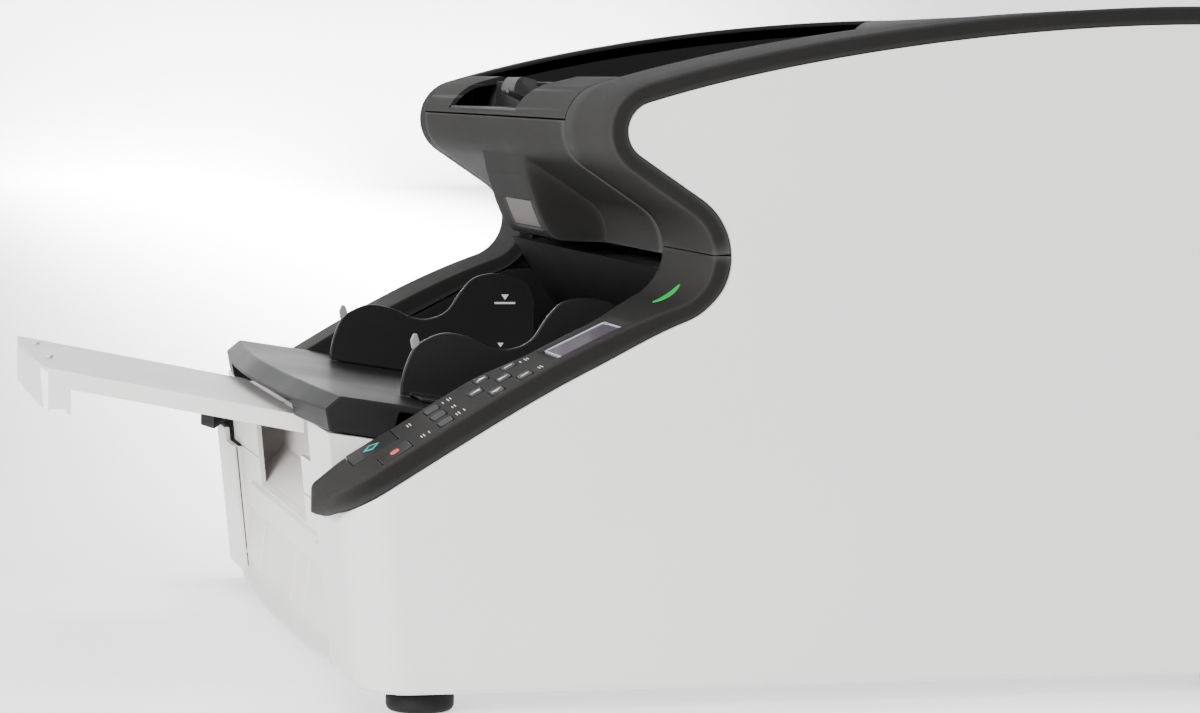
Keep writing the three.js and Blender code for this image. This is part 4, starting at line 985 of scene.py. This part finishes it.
piece(rear_panel(), WHITE, "base", ["rear_cover"], bevel=0.5)
door = block("back_door", UNIT_LEFT + 0.4, UNIT_RIGHT - 0.4, REAR_Y - 3, REAR_Y, 237, 289.4)
carve(door, [block("grip", -70, -10, REAR_Y - 1.4, REAR_Y + 1, 279.4, 291)])
carve(door, [block("rib", UNIT_LEFT + 8, UNIT_RIGHT - 8, REAR_Y - 9, REAR_Y - 2, 251, 254)], "UNION")
piece(door, WHITE, "rear_door", ["rear_door"], bevel=0.8)

inlet = block("mains_inlet", 174.4, 203.6, REAR_Y - 26, REAR_Y, 44.4, 65.6)
mouth = [(177.5, 48), (200.5, 48), (200.5, 57), (196.5, 62), (181.5, 62), (177.5, 57)]
carve(inlet, [prism("mouth", mouth, "y", REAR_Y - 18, REAR_Y + 1)])
for i, x in enumerate((183, 189, 195)):
    z = 53 + 2 * (i % 2)
    carve(inlet, [block("pin", x - 0.9, x + 0.9, REAR_Y - 20, REAR_Y - 5, z, z + 4.6)], "UNION")
piece(inlet, INNER, "base", ["power_inlet"], bevel=0.5)
rocker = prism("mains_rocker", [(271, 46.4), (280.4, 46.4), (279.4, 50),
                                (279.6, 52), (281, 55), (REAR_Y, 57.6), (271, 57.6)],
               "x", 219.6, 236.4)
piece(rocker, GLOSS, "power_switch", ["power_switch"], bevel=0.5)


def turned(name, profile, axis, centre, a, b, sides=48):
    """Revolves (radius, height) pairs about an axis through (a, b)."""
    rings = []
    for r, h in profile:
        ring = []
        for i in range(sides):
            angle = 2 * math.pi * i / sides
            u, v = max(r, 0.01) * math.cos(angle), max(r, 0.01) * math.sin(angle)
            ring.append((a + u, b + v, h) if axis == "z" else (centre + h, a + u, b + v))
        rings.append(ring)
    return loft(name, rings)


for name, x, y in (("front_right", 230, -222), ("front_left", -230, -222),
                   ("rear_right", 230, 238), ("rear_left", -230, 238)):
    disc = [(14.4, 0), (16.2, 0.3), (17.2, 1.1), (17.9, 2.6),
            (18, 4), (18, 9.4), (17.2, 10.2), (17.2, 12.9), (10, 12.9)]
    piece(turned("pad_" + name, disc, "z", 0, x, y), RUBBER,
          "base", ["foot_" + name], crease=60)


def roller(name, x0, x1, radius, tyres, width, y, z):
    spans = sorted((t - width / 2, t + width / 2) for t in tyres)
    profile = [(3.4, x0), (4, x0 + 0.6)]
    shaft = turned("axle_" + name, profile + [(4, x1 - 0.6), (3.4, x1)], "x", 0, y, z)
    piece(shaft, SHAFT, name, [name])
    for k, (a, b) in enumerate(spans):
        tread = [(radius - 3, a), (radius - 0.5, a + 0.2), (radius, a + 0.8)]
        steps = int((b - a - 2) / 3)
        for j in range(steps):
            g = a + 2 + j * 3
            tread += [(radius, g), (radius - 0.5, g + 0.3), (radius - 0.5, g + 0.8), (radius, g + 1.1)]
        tread += [(radius, b - 0.8), (radius - 0.5, b - 0.2), (radius - 3, b)]
        piece(turned(f"tyre_{name}_{k}", tread, "x", 0, y, z), RUBBER, name)


roller("pickup_roller", -60, 5, 14, [-28], 44, -88, 249.5)
roller("feed_roller", -84, 150, 13, [-28], 46, -50, 241.6)
roller("separation_roller", -239, 186, 13, [-28], 46, -50, 214.4)
roller("transport_roller", -239, 186, 11, [-60, 6], 24, -24, 214.4)
roller("exit_roller", -239, 186, 11, [-60, 6], 24, 118, 214.4)

# inner solids of the CAD that stay as they are, each with its finish and bevel
KEPT = [
    ("base_pan", STEEL, 0.6),
    ("feeder_bed", INNER, 0.6),
    ("lift_shaft", SHAFT, 0.2),
    ("lift_motor", MOTOR, 0.5),
    ("lower_paper_guide", INNER, 0.4),
    ("main_frame_right", STEEL, 0.4),
    ("main_frame_left", STEEL, 0.4),
    ("scan_unit_lower", INNER, 0.8),
    ("power_supply", STEEL, 1.0),
    ("main_board", BOARD, 0.2),
    ("main_motor", MOTOR, 0.6),
    ("unit_side_plate_right", STEEL, 0.4),
    ("unit_side_plate_left", STEEL, 0.4),
    ("turn_core", INNER, 0.4),
    ("scan_unit_upper", INNER, 0.8),
    ("unit_hinge_shaft", SHAFT, 0.3),
]
for name, mat, bevel in KEPT:
    piece(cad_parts[name], mat, None, bevel=bevel, segments=2, crease=30)

# ------------------------------------------------------------------ studio
def studio():
    rings = []
    for i in range(13):
        a = math.radians(90 * i / 12)
        rings.append((-9.0 - math.sin(a), 1 - math.cos(a)))
    line = [(5.0, 0.0)] + rings + [(-10.0, 6.0)]
    verts = [(x, y, z - 0.0005) for x, z in line for y in (-7.0, 7.0)]
    faces = [[2 * i, 2 * i + 2, 2 * i + 3, 2 * i + 1] for i in range(len(line) - 1)]
    mesh = bpy.data.meshes.new("ground")
    mesh.from_pydata(verts, [], faces)
    obj = bpy.data.objects.new("ground", mesh)
    bpy.context.scene.collection.objects.link(obj)
    mesh.materials.append(GROUND)
    mesh.polygons.foreach_set("use_smooth", [True] * len(mesh.polygons))
    if mesh.polygons[0].normal.z < 0:
        mesh.flip_normals()

    def light(name, at, target, size, power, spread=180):
        data = bpy.data.lights.new(name, "AREA")
        data.shape, data.size, data.size_y, data.energy = "RECTANGLE", *size, power
        data.spread = math.radians(spread)
        lamp = bpy.data.objects.new(name, data)
        bpy.context.scene.collection.objects.link(lamp)
        lamp.location = at
        lamp.rotation_euler = (Vector(target) - Vector(at)).to_track_quat("-Z", "Y").to_euler()

    light("key", (2.5, -2.5, 1.2), (0.2, -0.2, 0.15), (1.2, 1.0), 205)
    light("overhead", (-0.1, 0.2, 2.4), (0, 0.1, 0.2), (2.2, 1.4), 46)
    light("fill", (3.0, 0.9, 1.2), (0, 0.2, 0.2), (1.8, 1.4), 14)
    light("floor_strip", (-4.8, 0.75, 2.0), (-4.8, 0.75, 0), (9.0, 1.1), 620, spread=36)
    light("wall_wash", (-8.4, 1.5, 1.4), (-9.8, 1.5, 0.1), (3.0, 0.5), 70, spread=70)
    world = bpy.data.worlds.new("studio_world")
    world.use_nodes = True
    world.node_tree.nodes["Background"].inputs["Color"].default_value = (0.93, 0.95, 1.0, 1)
    world.node_tree.nodes["Background"].inputs["Strength"].default_value = 0.5
    bpy.context.scene.world = world


studio()


def look():
    yaw, pitch, roll = math.radians(13.90), math.radians(4.54), math.radians(0.917)
    forward = Vector((-math.cos(pitch) * math.cos(yaw), math.cos(pitch) * math.sin(yaw), -math.sin(pitch)))
    right = forward.cross(Vector((0, 0, 1))).normalized()
    up = right.cross(forward)
    side = right * math.cos(roll) + up * math.sin(roll)
    above = up * math.cos(roll) - right * math.sin(roll)
    data = bpy.data.cameras.new("view")
    data.lens, data.sensor_width, data.clip_end = 102.1, 36, 50
    cam = bpy.data.objects.new("view", data)
    bpy.context.scene.collection.objects.link(cam)
    turn = Matrix((side, above, -forward)).transposed().to_4x4()
    cam.matrix_world = Matrix.Translation((1.965, -0.4933, 0.327)) @ turn
    bpy.context.scene.camera = cam


look()
